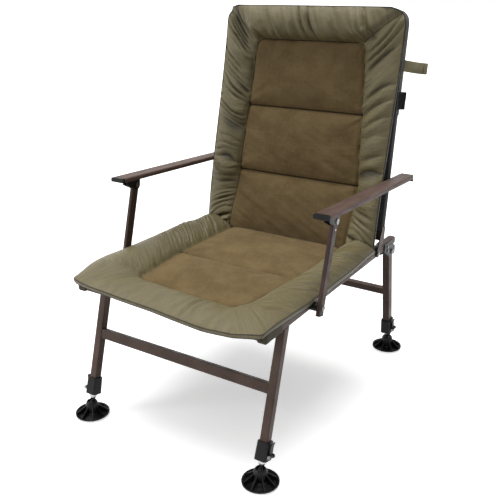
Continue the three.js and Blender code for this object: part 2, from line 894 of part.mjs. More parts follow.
function backTube() {
  const length = backTubeEnd - backTubeStart;
  const side = tube(tubeSize, tubeSize, length).translate(outerTubeX, backTubeSetback, backTubeStart);
  const near = backTubeSetback - tubeSize / 2;
  const far = backTubeSetback + tubeSize / 2;
  const shape = new THREE.Shape();
  shape.moveTo(-hingeEyeRadius, 0);
  shape.absarc(0, 0, hingeEyeRadius, 2 * quarterTurn, hingeEyeEnd);
  shape.lineTo(far, backTubeStart + clearance);
  shape.lineTo(far, hingePlateTop);
  shape.lineTo(near + clearance, hingePlateTop);
  shape.lineTo(near - clearance, hingePlateTop - hingeEyeRadius);
  const plate = sidePlate(shape, plateThickness).translate(hingePlateX, 0, 0);
  const hole = rod(boltRadius + clearance, tubeSize).translate(hingePlateX, 0, 0);
  const pinLength = armCentre - postWidth / 2 - outerTubeX - tubeSize / 2 + tubeWall / 2;
  const pin = rod(recliningPinRadius, pinLength).translate(
    outerTubeX + tubeSize / 2 - tubeWall / 2 + pinLength / 2,
    recliningPinY,
    recliningPinRise,
  );
  return named("back_tube", cut(join(side, plate, pin), hole), finishes.frame());
}

function hingeBolt() {
  const face = hingePlateX + plateThickness + clearance;
  const mesh = named("back_hinge_bolt", bolt(railInnerX - clearance, face), finishes.steel());
  mesh.position.set(0, hingeY, railHeight);
  return mesh;
}

// The bent top of the back, a square tube swept along a U
function backTopTube() {
  const stations = [];
  const bendX = outerTubeX - backBendRadius;
  const bendZ = backHeight - backBendRadius;
  stations.push([outerTubeX, backTubeEnd + clearance, 0]);
  evenShares(backBendSteps).forEach((share) => {
    const angle = share * quarterTurn;
    const x = bendX + backBendRadius * Math.cos(angle);
    const z = bendZ + backBendRadius * Math.sin(angle);
    stations.push([x, z, angle]);
  });
  const whole = [
    ...stations,
    ...stations.slice().reverse().map(([x, z, angle]) => [-x, z, 2 * quarterTurn - angle]),
  ];
  const sweep = (half, corner, overrun) => {
    const section = [
      [half, half - corner],
      [half - corner, half],
      [-half + corner, half],
      [-half, half - corner],
      [-half, -half + corner],
      [-half + corner, -half],
      [half - corner, -half],
      [half, -half + corner],
    ];
    const places = [];
    const faces = [];
    const sides = section.length;
    whole.forEach(([x, z, angle], k) => {
      const end = k === 0 || k === whole.length - 1;
      section.forEach(([out, deep]) => {
        places.push(
          x + out * Math.cos(angle),
          backTubeSetback + deep,
          z + out * Math.sin(angle) - (end ? overrun : 0),
        );
      });
    });
    for (let k = 0; k + 1 < whole.length; k += 1) {
      for (let i = 0; i < sides; i += 1) {
        const a = k * sides + i;
        const b = k * sides + ((i + 1) % sides);
        faces.push(a, b, a + sides, b, b + sides, a + sides);
      }
    }
    const last = (whole.length - 1) * sides;
    for (let i = 1; i + 1 < sides; i += 1) {
      faces.push(0, i + 1, i);
      faces.push(last, last + i, last + i + 1);
    }
    const geometry = new THREE.BufferGeometry();
    geometry.setAttribute("position", new THREE.Float32BufferAttribute(places, 3));
    geometry.setIndex(faces);
    return geometry;
  };
  const outer = sweep(tubeSize / 2, tubeCorner, 0);
  const inner = sweep(tubeSize / 2 - tubeWall, tubeWall / 2, cutOverrun);
  return named("back_top_tube", cut(outer, inner), finishes.frame());
}

function backCrossbar() {
  const length = 2 * (outerTubeX - tubeSize / 2 - clearance);
  const bar = alongX(tube(backCrossbarSize, backCrossbarSize, length)).translate(-length / 2, 0, 0);
  const mesh = named("back_lower_crossbar", bar, finishes.frame());
  mesh.position.set(0, backTubeSetback, backCrossbarRise);
  return mesh;
}

// Slings. The seat sling rests on the rails and sags between them, the back sling sags behind the tubes
const rearCrossbarY = hingeY + hingeToRearCrossbar;
const frontCrossbarY = frontFootY + frontCrossbarSetback;
const sagStartY = frontCrossbarY + tubeSize / 2;
const sagEndY = rearCrossbarY - tubeSize / 2;
const slingHalf = railOuterX - clearance;
const sagHalf = railInnerX - clearance;

function seatSlingTop(x, y) {
  const across = Math.min(1, Math.abs(x) / sagHalf);
  const fade = smooth((y - sagStartY) / seatSlingFade) * smooth((sagEndY - y) / seatSlingFade);
  return railTop + clearance + slingThickness - seatSlingSag * (1 - across ** 4) * fade;
}

// Rows along the seat, shared by the sling and the mattress that lies on it
const seatPadFrontY = frontFootY - seatPadFrontReach;
const seatPadRearY = creaseY - softGap / 2;
const seatPanelFrontY = frontFootY + seatPanelSetback;
const seatSeamY = frontFootY + seatPanelSeam;
const seatNoseY = frontCrossbarY - tubeSize / 2 - softGap;

const sharedRowYs = [
  sagStartY,
  (sagStartY + seatPanelFrontY) / 2,
  seatPanelFrontY - seamWidth / 2,
  seatPanelFrontY,
  seatPanelFrontY + seamWidth / 2,
  ...between(seatPanelFrontY, seatSeamY, quarterShares),
  seatSeamY - seamWidth / 2,
  seatSeamY,
  seatSeamY + seamWidth / 2,
  ...between(seatSeamY, seatPadRearY, rearRowShares),
];

function seatSling() {
  const half = [...halfSlingShares.map((share) => share * sagHalf), slingHalf];
  const columns = bothSides(half);
  const rows = [
    frontCrossbarY - seatSlingHem,
    ...sharedRowYs,
    ...between(seatPadRearY, sagEndY, [0.5, 1]),
    rearCrossbarY + seatSlingHem,
  ];
  const top = (x, y) => [x, y, seatSlingTop(x, y)];
  const bottom = (x, y) => [x, y, seatSlingTop(x, y) - slingThickness];
  return named("seat_sling", slab(columns, rows, top, bottom), finishes.sling());
}

const sleeveHalf = tubeSize / 2 + clearance + sleeveWall;
const sleeveInnerX = outerTubeX - sleeveHalf;
const sleeveStart = recliningPinRise + sleeveAbovePin;

function backSlingFront(x) {
  const across = Math.min(1, Math.abs(x) / sleeveInnerX);
  return backTubeSetback - slingThickness / 2 + backSlingSag * (1 - across ** 4);
}

function backSling() {
  const half = halfSlingShares.map((share) => share * (sleeveInnerX + clearance));
  const columns = bothSides(half);
  const rows = between(backSlingStart, backSlingEnd, evenShares(backSlingRows));
  const front = (x, u) => [x, backSlingFront(x), u];
  const back = (x, u) => [x, backSlingFront(x) + slingThickness, u];
  const panel = slab(columns, rows, front, back);
  const sleeves = [-1, 1].map((side) => {
    const shape = roundedRectangle(2 * sleeveHalf, 2 * sleeveHalf, tubeCorner);
    const boreSize = tubeSize + 2 * clearance;
    shape.holes.push(rectangularHole(boreSize, boreSize));
    const length = backSlingEnd - sleeveStart;
    return prism(shape, length).translate(side * outerTubeX, backTubeSetback, sleeveStart);
  });
  return named("back_sling", join(panel, ...sleeves), finishes.sling());
}

// A dip along a sewn line
function seam(distance) {
  return seamDepth * Math.max(0, 1 - (2 * Math.abs(distance)) / seamWidth);
}

// The rolled border climbs from the panel's seam to its crown and drops again at the edge
function roll(t) {
  const climb = Math.sin(Math.min(1, t / crownShare) * quarterTurn);
  const fall = Math.max(0, (t - crownShare) / (1 - crownShare));
  return [climb, fall * fall];
}

// Seat half of the mattress
function seatPad() {
  const rowYs = [...between(seatPadFrontY, seatNoseY, noseRowShares), ...sharedRowYs];
  const nose = (y) => Math.max(0, (seatNoseY - y) / (seatNoseY - seatPadFrontY));
  const bowed = (across, y) => y + seatPadCornerSetback * across ** 4 * nose(y);
  const droop = (y) => nose(y) ** 2;
  const halfWidth = (y) => {
    const share = smooth((y - seatPadFrontY) / (seatPanelFrontY - seatPadFrontY));
    return seatPadFrontHalfWidth + (seatPadHalfWidth - seatPadFrontHalfWidth) * share;
  };
  const panelHalf = (y) => {
    const share = THREE.MathUtils.clamp((y - seatPanelFrontY) / (seatSeamY - seatPanelFrontY), 0, 1);
    return seatPanelFrontHalf + (seatPanelRearHalf - seatPanelFrontHalf) * share;
  };
  const top = (across, y) => {
    const x = across * halfWidth(y);
    const sideShare = Math.max(0, (Math.abs(x) - panelHalf(y)) / (halfWidth(y) - panelHalf(y)));
    const frontShare = Math.max(0, (seatPanelFrontY - y) / (seatPanelFrontY - seatPadFrontY));
    const share = Math.max(sideShare, frontShare);
    const [climb, fall] = roll(share);
    const mix = sideShare + frontShare > 0 ? sideShare / (sideShare + frontShare) : 0;
    const rise = seatFrontRollRise + (seatRollRise - seatFrontRollRise) * mix;
    const inside = share > 0 ? 0 : panelCrown * (1 - (x / panelHalf(y)) ** 2);
    const edgeSeam = share > 0 ? 0 : seam(Math.abs(x) - panelHalf(y)) * sideSeamShare;
    const crossSeam = share > 0 ? 0 : seam(y - seatSeamY) + seam(y - seatPanelFrontY) * frontSeamShare;
    const z = seatPanelTop + rise * climb - padEdgeDrop * fall + inside - edgeSeam - crossSeam;
    const fallen = (seatFrontDroop + seatFrontSag * (1 - across ** 2)) * droop(y);
    return [x, bowed(across, y), z - fallen];
  };
  const bottom = (across, y) => {
    const x = across * (halfWidth(y) - padEdgeInset);
    const onRail = Math.abs(x) > sagHalf * railContactShare;
    const slingTop = onRail ? railTop + clearance + slingThickness : seatSlingTop(x, y) + softGap;
    const bottomSag = seatFrontDroop * undersideShare + seatFrontSag * (1 - across ** 2);
    const front = bowed(across, Math.max(y, seatPadFrontY + padEdgeInset * undersideShare));
    return [x, front, slingTop + 2 * softGap - bottomSag * Math.min(1, droop(y) / undersideNoseShare)];
  };
  return named("seat_pad", slab(padColumnShares, rowYs, top, bottom), finishes.mattress());
}

// Back half of the mattress
function backEdgeReach(u) {
  const share = u / backPadTopRise;
  const lumbar = backPadReachBottom - backPadReachTop;
  return -backPadReachTop - (lumbar * (1 + Math.cos(share * 2 * quarterTurn))) / 2;
}

function backPanelDepth(u) {
  const share = u / backPadTopRise;
  const depth = backPanelDepthBottom + (backPanelDepthTop - backPanelDepthBottom) * share;
  return depth * smooth(u / backPanelFade);
}

function backPad() {
  const bottomZ = railTop + clearance + slingThickness + 2 * softGap - railHeight;
  const lowestU = (r) => (bottomZ + r * Math.sin(backLean)) / Math.cos(backLean);
  const [lowSeam, highSeam] = backSeamRises;
  const seamRows = backSeamRises.flatMap((rise) => [rise - seamWidth / 2, rise, rise + seamWidth / 2]);
  const rowUs = [
    ...between(0, lowSeam, lumbarRowShares),
    ...between(lowSeam, highSeam, quarterShares),
    ...between(highSeam, backPanelTop, [...quarterShares, 1]),
    ...between(backPanelTop, backPadTopRise, headRowShares),
    ...seamRows,
  ].sort((a, b) => a - b);
  const halfWidth = (u) => {
    const share = smooth((u - backPadWaistRise) / backPadWaistRise);
    const side = backPadWaistHalf + (backPadTopHalf - backPadWaistHalf) * share;
    const over = Math.max(0, u - (backPadTopRise - backPadCorner));
    return side - backPadCorner + Math.sqrt(Math.max(0, backPadCorner ** 2 - over ** 2));
  };
  const panelHalf = (u) => {
    const share = THREE.MathUtils.clamp((u - lowSeam) / (backPanelTop - lowSeam), 0, 1);
    const side = backPanelHalf + (backPanelTopHalf - backPanelHalf) * share;
    const over = THREE.MathUtils.clamp(u - (backPanelTop - backPanelCorner), 0, backPanelCorner);
    return side - backPanelCorner + Math.sqrt(backPanelCorner ** 2 - over ** 2);
  };
  const reachAt = (across, u) => {
    const x = across * halfWidth(u);
    const sideShare = Math.max(0, (Math.abs(x) - panelHalf(u)) / (halfWidth(u) - panelHalf(u)));
    const topShare = Math.max(0, (u - backPanelTop) / (backPadTopRise - backPanelTop));
    const share = Math.max(sideShare, topShare);
    const [climb, fall] = roll(share);
    const depth = backPanelDepth(u);
    const lift = topShare > sideShare ? Math.max(depth, backTopRollRise) : depth;
    const crown = share > 0 ? 0 : panelCrown * (1 - (x / backPanelHalf) ** 2) * smooth(u / backPanelFade);
    const dips = share > 0 ? 0 : backSeamRises.reduce((sum, rise) => sum + seam(u - rise), 0);
    return backEdgeReach(u) + depth - lift * climb + padEdgeDrop * fall - crown + dips;
  };
  const place = (x, r, u) => [x, r, Math.max(u, lowestU(r))];
  const front = (across, u) => place(across * halfWidth(u), reachAt(across, u), u);
  const back = (across, u) => {
    const x = across * (halfWidth(u) - padEdgeInset);
    const nearTube = smooth((Math.abs(x) - backPanelHalf) / (sleeveInnerX - padEdgeInset - backPanelHalf));
    const overTop = smooth((u - backPanelTop) / (backTopBorder * headReachShare));
    const held = Math.max(nearTube, overTop);
    const tubeFront = backTubeSetback - sleeveHalf - softGap;
    const slingFront = backSlingFront(x) - 2 * softGap;
    const middle = Math.min(slingFront, reachAt(across, u) + backPadThickness);
    const edge = Math.min(tubeFront, backEdgeReach(u) + backPadEdgeThickness);
    return place(x, middle + (edge - middle) * held, u);
  };
  return named("back_pad", slab(padColumnShares, rowUs, front, back), finishes.mattress());
}

function webbingStrap() {
  const half = strapHeight / 2;
  const side = outline([
    [0, -half],
    [strapReach, -half - strapDrop],
    [strapReach, half - strapDrop],
    [0, half],
  ]);
  const strap = prism(side, strapThickness).rotateX(quarterTurn).rotateZ(strapYaw);
  const mesh = named("webbing_strap", strap, finishes.webbing());
  const root = outerTubeX + sleeveHalf + clearance;
  mesh.position.set(root, backTubeSetback + tubeSize / 2, backHeight - strapBelowTop);
  return mesh;
}

function sideLabel() {
  const label = box(labelThickness, labelLength, labelHeight);
  const mesh = named("side_label", label, finishes.plastic());
  const x = outerTubeX + sleeveHalf + clearance + labelThickness / 2;
  mesh.position.set(x, backTubeSetback + labelRearShift, backHeight - labelBelowTop);
  return mesh;
}

// Assembly
const chair = new THREE.Group();

[
  { prefix: "left_", sign: 1 },
  { prefix: "right_", sign: -1 },
].forEach(({ prefix, sign }) => {
  const side = new THREE.Group();
  side.scale.x = sign;
  const add = (parent, mesh) => {
    mesh.name = prefix + mesh.name;
    parent.add(mesh);
  };

  add(side, seatRail());
  add(side, railEndCap());
  add(side, rearLegBracket());
  add(side, rearLegPivotBolt());
  add(side, postSpacer());
  add(side, armPost());
  add(side, postBolt());
  add(side, hingeBolt());

  const legs = [
    { end: "front_", y: frontFootY, lean: -frontLegLean, leg: frontLeg(), depth: tubeSize },
    { end: "rear_", y: rearFootY, lean: rearLegLean, leg: rearLeg(), depth: rearLegDepth },
  ];
  legs.forEach(({ end, y, lean, leg, depth }) => {
    const group = legGroup(y, lean);
    add(group, leg);
    add(group, legCollar(end + "leg_collar", depth));
    add(group, clampLever(end + "clamp_lever"));
    add(group, innerLeg(end + "inner_leg"));
    side.add(group);
    const foot = mudFoot(end + "mud_foot");
    foot.position.set(railX, y, 0);
    add(side, foot);
  });

  const arm = armrestGroup();
  add(arm, armrest());
  add(arm, armFrontCap());
  add(arm, reclineRack());
  add(arm, armBracket());
  add(arm, armPivotPin());
  side.add(arm);

  const backSide = backGroup();
  add(backSide, backTube());
  side.add(backSide);
  chair.add(side);
});

const frontBarY = frontFootY + legCrossbarRise * Math.sin(frontLegLean);
const frontBarZ = ballHeight + legCrossbarRise * Math.cos(frontLegLean);
const rearBarY = rearFootY - rearLegCrossbarRise * Math.sin(rearLegLean);
const rearBarZ = ballHeight + rearLegCrossbarRise * Math.cos(rearLegLean);
chair.add(
  crossbar("front_leg_crossbar", frontCrossbarHeight, crossbarDepth, frontBarY, frontBarZ, -frontLegLean),
  crossbar("rear_leg_crossbar", tubeSize, crossbarDepth, rearBarY, rearBarZ, rearLegLean),
  crossbar("seat_front_crossbar", tubeSize, tubeSize, frontCrossbarY, railHeight, 0),
  crossbar("seat_rear_crossbar", tubeSize, tubeSize, rearCrossbarY, railHeight, 0),
  seatSling(),
  seatPad(),
);

const back = backGroup();
back.add(backTopTube(), backCrossbar(), backSling(), backPad(), webbingStrap(), sideLabel());
chair.add(back);

export default chair;
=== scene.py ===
import json
import math

import bmesh
import bpy
import numpy as np
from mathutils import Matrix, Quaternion, Vector


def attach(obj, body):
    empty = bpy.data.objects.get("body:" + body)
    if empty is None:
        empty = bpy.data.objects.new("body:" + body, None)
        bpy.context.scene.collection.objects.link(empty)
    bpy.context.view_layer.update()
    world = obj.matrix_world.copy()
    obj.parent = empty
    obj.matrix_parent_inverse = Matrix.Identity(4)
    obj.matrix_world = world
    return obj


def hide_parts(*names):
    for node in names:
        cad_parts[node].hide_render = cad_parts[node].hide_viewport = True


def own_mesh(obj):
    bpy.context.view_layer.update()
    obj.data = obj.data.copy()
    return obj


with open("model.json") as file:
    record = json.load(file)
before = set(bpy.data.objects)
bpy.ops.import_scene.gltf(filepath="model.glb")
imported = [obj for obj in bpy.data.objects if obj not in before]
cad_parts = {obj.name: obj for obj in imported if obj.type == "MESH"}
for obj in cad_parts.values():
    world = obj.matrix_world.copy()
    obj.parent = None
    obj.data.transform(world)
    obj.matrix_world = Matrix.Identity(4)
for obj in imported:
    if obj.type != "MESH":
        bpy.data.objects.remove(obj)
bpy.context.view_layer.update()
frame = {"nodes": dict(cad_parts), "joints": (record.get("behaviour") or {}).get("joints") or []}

scene = bpy.context.scene
print("frame loaded:", len(frame["nodes"]), "nodes")

sides = {"left": 1, "right": -1}
backHinge = next(j for j in frame["joints"] if j["name"] == "back_fold")["pos_m"]
backLean = math.radians(7.5)


# Camera: backed off along the line of sight, level but for a hair of roll
view = {
    "place": (0.8933, -1.4267, 1.0099), "azimuth": 32.23, "elevation": 20.64, "roll": -0.08,
    "lens": 50.35, "sensor": 36,
}


def linked(name, data):
    made = bpy.data.objects.new(name, data)
    scene.collection.objects.link(made)
    return made


def makeCamera():
    azimuth, elevation = math.radians(view["azimuth"]), math.radians(view["elevation"])
    away = Vector((
        math.sin(azimuth) * math.cos(elevation),
        -math.cos(azimuth) * math.cos(elevation),
        math.sin(elevation),
    ))
    camera = linked("photo_camera", bpy.data.cameras.new("photo_camera"))
    camera.data.lens = view["lens"]
    camera.data.sensor_width = view["sensor"]
    camera.rotation_mode = "QUATERNION"
    roll = Quaternion((0, 0, 1), math.radians(view["roll"]))
    camera.rotation_quaternion = (-away).to_track_quat("-Z", "Y") @ roll
    camera.location = view["place"]
    scene.camera = camera


makeCamera()
print("camera set")


# Node graph helpers
def put(tree, kind, sockets=None, **fields):
    made = tree.nodes.new("ShaderNode" + kind)
    for field, value in fields.items():
        setattr(made, field, value)
    for socket, value in (sockets or {}).items():
        if isinstance(value, bpy.types.NodeSocket):
            tree.links.new(value, made.inputs[socket])
        else:
            made.inputs[socket].default_value = value
    return made


def paint(red, green, blue):
    # 0-255 screen values to the linear ones a shader takes
    shares = [v / 255 for v in (red, green, blue)]
    return tuple(v / 12.92 if v <= 0.04045 else ((v + 0.055) / 1.055) ** 2.4 for v in shares) + (1,)


def noise(tree, place, scale, detail=3.0, roughness=0.5):
    sockets = {"Vector": place, "Scale": scale, "Detail": detail, "Roughness": roughness}
    return put(tree, "TexNoise", sockets).outputs["Fac"]


def spread(tree, value, low, high, toLow=0.0, toHigh=1.0):
    sockets = {"Value": value, "From Min": low, "From Max": high, "To Min": toLow, "To Max": toHigh}
    return put(tree, "MapRange", sockets, interpolation_type="SMOOTHSTEP").outputs["Result"]


def sums(tree, operation, first, second):
    return put(tree, "Math", {0: first, 1: second}, operation=operation).outputs[0]


def blendColours(tree, share, first, second, how="MIX"):
    sockets = {0: share, 6: first, 7: second}
    return put(tree, "Mix", sockets, data_type="RGBA", blend_type=how).outputs[2]


def raised(tree, height, strength, distance, under=None):
    sockets = {"Height": height, "Strength": strength, "Distance": distance}
    if under is not None:
        sockets["Normal"] = under
    return put(tree, "Bump", sockets).outputs["Normal"]


finishes = {}


def newFinish(name, plain):
    material = bpy.data.materials.new(name)
    material.use_nodes = True
    tree = material.node_tree
    shader = tree.nodes["Principled BSDF"]
    for socket, value in plain.items():
        shader.inputs[socket].default_value = value
    finishes[name] = material
    return tree, shader, put(tree, "TexCoord").outputs["Object"]


def wire(tree, shader, colour, rough, normal, others=None):
    sockets = {"Base Color": colour, "Roughness": rough, "Normal": normal, **(others or {})}
    for socket, value in sockets.items():
        tree.links.new(value, shader.inputs[socket])


def stretched(tree, place, scale):
    return put(tree, "Mapping", {"Vector": place, "Scale": scale}).outputs["Vector"]


# Metals: base, dark and light colours, metallic and specular levels, least and greatest roughness,
# scale of the grain and stretch of the patches
metals = {
    "frame_paint": ((98, 80, 72), (78, 62, 55), (120, 102, 93), 0.1, 0.2, (0.36, 0.52), 900, (1, 1, 1)),
    # the arm posts' frame paint, darkened as painted shade
    "post_shaded_frame_paint": ((82, 65, 58), (64, 50, 45), (104, 86, 78), 0.1, 0.2, (0.38, 0.55), 900, (1, 1, 1)),
    "armrest_paint": ((100, 80, 72), (82, 63, 55), (124, 102, 92), 0.1, 0.3, (0.42, 0.6), 900, (6, 1, 6)),
    "bracket_steel": ((118, 116, 112), (92, 90, 87), (150, 148, 144), 0.4, 0.4, (0.4, 0.58), 900, (1, 1, 1)),
    "bolt_steel": ((140,) * 3, (104, 104, 105), (178,) * 3, 1.0, 0.5, (0.18, 0.34), 1500, (1, 1, 1)),
}


def metalFinish(name, base, dark, light, metallic, specular, roughShares, grain, streak):
    # the base colour darkens in soft patches and lightens in specks and scuffs; the specks also stand out
    tree, shader, place = newFinish(name, {"Metallic": metallic, "Specular IOR Level": specular})
    along = stretched(tree, place, streak)
    drift = spread(tree, noise(tree, along, 14, 5, 0.6), 0.3, 0.7)
    specks = noise(tree, place, grain, 2)
    colour = blendColours(tree, drift, paint(*dark), paint(*base))
    colour = blendColours(tree, spread(tree, specks, 0.55, 0.75), colour, paint(*light))
    scuffs = spread(tree, noise(tree, along, 60, 8, 0.75), 0.62, 0.72)
    colour = blendColours(tree, scuffs, colour, paint(*light))
    rough = spread(tree, noise(tree, along, 30, 4), 0.3, 0.7, *roughShares)
    normal = raised(tree, specks, 0.25, 0.0004)
    wire(tree, shader, colour, rough, raised(tree, noise(tree, place, 90, 2), 0.12, 0.001, normal))


for metal, values in metals.items():
    metalFinish(metal, *values)


def plasticFinish(name, base, light):
    # moulded texture: fine spark-eroded grain, and light patches that are partly dust and partly painted
    # highlights
    tree, shader, place = newFinish(name, {"Specular IOR Level": 0.2})
    dustAndSheen = spread(tree, noise(tree, place, 45, 6, 0.7), 0.52, 0.8, 0, 0.6)
    rough = spread(tree, noise(tree, place, 120, 4), 0.3, 0.7, 0.28, 0.5)
    normal = raised(tree, noise(tree, place, 1400, 2), 0.35, 0.0003)
    wire(tree, shader, blendColours(tree, dustAndSheen, paint(*base), paint(*light)), rough, normal)


plasticFinish("black_plastic", (17, 17, 18), (44, 44, 46))


# Inner legs: bright steel above, the black of the ball stud below these heights in metres
stud = {
    "heights": (0.0478, 0.0484), "steel": ((176,) * 3, (214,) * 3), "black": ((14, 14, 15), (34, 34, 36)),
}


def studFinish():
    tree, shader, place = newFinish("inner_leg_steel", {})
    height = put(tree, "SeparateXYZ", {"Vector": place}).outputs["Z"]
    isStud = spread(tree, height, *stud["heights"], 1, 0)
    grain = noise(tree, stretched(tree, place, (1, 1, 0.15)), 700, 3, 0.6)
    steel = blendColours(tree, spread(tree, grain, 0.35, 0.7), *[paint(*tone) for tone in stud["steel"]])
    black = blendColours(tree, spread(tree, grain, 0.4, 0.8), *[paint(*tone) for tone in stud["black"]])
    rough = spread(tree, grain, 0.3, 0.7, 0.24, 0.42)
    colour, metallic = blendColours(tree, isStud, steel, black), spread(tree, isStud, 0, 1, 0.9, 0)
    wire(tree, shader, colour, rough, raised(tree, grain, 0.2, 0.0003), {"Metallic": metallic})


studFinish()


# Cloths. Yarns are sine waves over a length in metres: the UV map of a new piece is its flat size
def yarns(tree, vector, pitch, direction):
    scale = math.pi / (10 * pitch)
    sockets = {"Vector": vector, "Scale": scale, "Distortion": 0.6, "Detail": 1.0, "Detail Scale": 2.0}
    return put(tree, "TexWave", sockets, bands_direction=direction).outputs["Fac"]


def wovenFinish(name, base, dark, pitch, plain, useMap=True, rib=None):
    tree, shader, place = newFinish(name, plain)
    flat = put(tree, "UVMap").outputs["UV"] if useMap else place
    warp, weft = yarns(tree, flat, pitch, "X"), yarns(tree, flat, rib or pitch, "Y" if useMap else "Z")
    weave = sums(tree, "MULTIPLY", warp, weft)
    tone = noise(tree, place, 35, 5, 0.6)
    colour = blendColours(tree, spread(tree, tone, 0.3, 0.7), paint(*dark), paint(*base))
    colour = blendColours(tree, spread(tree, weave, 0.0, 0.45, 0.45, 0), colour, paint(*dark))
    normal = raised(tree, noise(tree, place, 160, 3), 0.2, 0.0008, raised(tree, weave, 0.6, 0.0005))
    wire(tree, shader, colour, spread(tree, weave, 0, 1, 0.85, 0.62), normal)


wovenFinish("sling_cloth", (44, 44, 42), (18, 18, 17), 0.0011, {"Sheen Weight": 0.15}, useMap=False)
wovenFinish("webbing", (200, 191, 152), (158, 149, 114), 0.0012, {"Sheen Weight": 0.2}, rib=0.0021)
wovenFinish("binding", (70, 64, 45), (46, 41, 28), 0.0009, {"Sheen Weight": 0.2}, rib=0.0014)
wovenFinish("edge_tape", (24, 23, 20), (10, 10, 9), 0.0008, {"Sheen Weight": 0.1}, rib=0.0014)
wovenFinish("label_cloth", (9, 9, 10), (4, 4, 4), 0.0006, {"Specular IOR Level": 0.05}, rib=0.0006)
wovenFinish("pocket_cloth", (92, 86, 65), (74, 69, 51), 0.0007, {"Sheen Weight": 0.06})
wovenFinish("hood_cloth", (66, 62, 47), (52, 48, 36), 0.0009, {"Sheen Weight": 0.2})
wovenFinish("label_thread", (30, 30, 31), (14, 14, 14), 0.0006, {"Sheen Weight": 0.1})
wovenFinish("stitch_thread", (104, 96, 66), (66, 60, 40), 0.0008, {"Sheen Weight": 0.2})


# Mattress cloth: brown fleece where the attribute "panel" is below zero, olive nylon outside it,
# and a dark sewn line where "seam", the distance to the nearest one, is under a millimetre or two.
# A third attribute paints shade: both cloths darken in the folds' valleys and at the foot of the back
# the darkest fleece and nylon colours, and their two amounts below, are painted shade for the valleys
clothColours = {
    "fleece": (124, 106, 74), "fleeceDark": (109, 91, 62), "fleeceLight": (138, 120, 86),
    "fleeceShade": (66, 52, 33), "nylon": (126, 116, 82), "nylonDark": (110, 101, 70),
    "nylonShade": (44, 41, 28), "thread": (50, 39, 22), "lining": (48, 46, 38), "sheen": (214, 200, 168),
}
clothLook = {
    "panelEdge": 0.0012, "seamHalf": 0.0010, "yarn": 0.0007, "fleeceShade": 0.6, "nylonShade": 0.85,
    "roughness": (0.95, 0.38), "specular": (0.18, 0.36), "crease": (0.32, 0.0012), "ripple": (0.5, 0.003),
    "fine": (0.4, 0.0005),
}


def mattressFinish():
    tree, shader, place = newFinish("mattress_cloth", {"Sheen Weight": 0.06, "Sheen Roughness": 0.45})
    colours = {name: paint(*values) for name, values in clothColours.items()}
    shader.inputs["Sheen Tint"].default_value = colours["sheen"]
    flat = put(tree, "UVMap").outputs["UV"]
    panel, seam, paintedShade = [
        put(tree, "Attribute", attribute_name=name).outputs["Fac"] for name in ("panel", "seam", "paintedShade")
    ]
    lines = put(tree, "Attribute", attribute_name="lines").outputs["Vector"]
    edge, half = clothLook["panelEdge"], clothLook["seamHalf"]
    isNylon = spread(tree, panel, -edge, edge)
    isLining = spread(tree, panel, 0.9, 0.96)
    isThread = spread(tree, seam, half, half * 2.4, 1, 0)

    tone = spread(tree, noise(tree, place, 20, 5, 0.55), 0.3, 0.7)
    brushed = noise(tree, stretched(tree, place, (1, 0.35, 0.6)), 170, 4, 0.6)
    fleece = blendColours(tree, tone, colours["fleeceDark"], colours["fleece"])
    fleece = blendColours(tree, spread(tree, brushed, 0.4, 0.8, 0, 0.4), fleece, colours["fleeceLight"])
    tone = spread(tree, noise(tree, stretched(tree, lines, (1, 0.3, 1)), 60, 4, 0.55), 0.3, 0.7)
    nylon = blendColours(tree, tone, colours["nylonDark"], colours["nylon"])
    # painted shade: fleece and nylon darkened towards their shade colours where the attribute marks a valley
    deep = sums(tree, "MULTIPLY", paintedShade, clothLook["fleeceShade"])
    fleece = blendColours(tree, deep, fleece, colours["fleeceShade"])
    deep = sums(tree, "MULTIPLY", paintedShade, clothLook["nylonShade"])
    nylon = blendColours(tree, deep, nylon, colours["nylonShade"])
    colour = blendColours(tree, isNylon, fleece, nylon)
    colour = blendColours(tree, isLining, colour, colours["lining"])
    colour = blendColours(tree, isThread, colour, colours["thread"])

    # creases: valleys where a noise drawn out along the folds passes through its middle value
    drawn = noise(tree, stretched(tree, lines, (1, 0.22, 1)), 95, 2, 0.5)
    crease = put(tree, "Math", {0: sums(tree, "SUBTRACT", drawn, 0.5)}, operation="ABSOLUTE").outputs[0]
    crease = sums(tree, "MULTIPLY", spread(tree, crease, 0, 0.11), isNylon)
    ripple = noise(tree, stretched(tree, place, (0.3, 0.9, 1.3)), 75, 4, 0.62)
    weave = sums(tree, "MULTIPLY", *[yarns(tree, flat, clothLook["yarn"], way) for way in "XY"])
    fuzz = sums(tree, "ADD", noise(tree, place, 700, 3), sums(tree, "MULTIPLY", brushed, 1.5))
    fine = put(tree, "Mix", {0: isNylon, 2: fuzz, 3: weave}, data_type="FLOAT").outputs[0]
    normal = raised(tree, crease, *clothLook["crease"])
    normal = raised(tree, ripple, *clothLook["ripple"], normal)
    normal = raised(tree, fine, *clothLook["fine"], normal)
    specular = {"Specular IOR Level": spread(tree, isNylon, 0, 1, *clothLook["specular"])}
    wire(tree, shader, colour, spread(tree, isNylon, 0, 1, *clothLook["roughness"]), normal, specular)


mattressFinish()

# The last finish with a matching word wins, so that a leg's collar is plastic and its bolt is steel
finishByNode = {
    "frame_paint": ("",),
    # the arm posts take the frame paint's darker copy, painted shade
    "post_shaded_frame_paint": ("arm_post",),
    "armrest_paint": ("armrest",),
    "bracket_steel": ("rear_leg_bracket",),
    "bolt_steel": ("bolt", "pivot_pin"),
    "black_plastic": ("end_cap", "spacer", "collar", "lever", "mud_foot", "front_cap", "rack", "arm_bracket"),
    "sling_cloth": ("sling",),
    "inner_leg_steel": ("inner_leg",),
}


def finishFrame():
    for name, part in frame["nodes"].items():
        matching = [finish for finish, words in finishByNode.items() if any(word in name for word in words)]
        part.data.materials.clear()
        part.data.materials.append(finishes[matching[-1]])


finishFrame()
print("finishes made:", len(finishes))


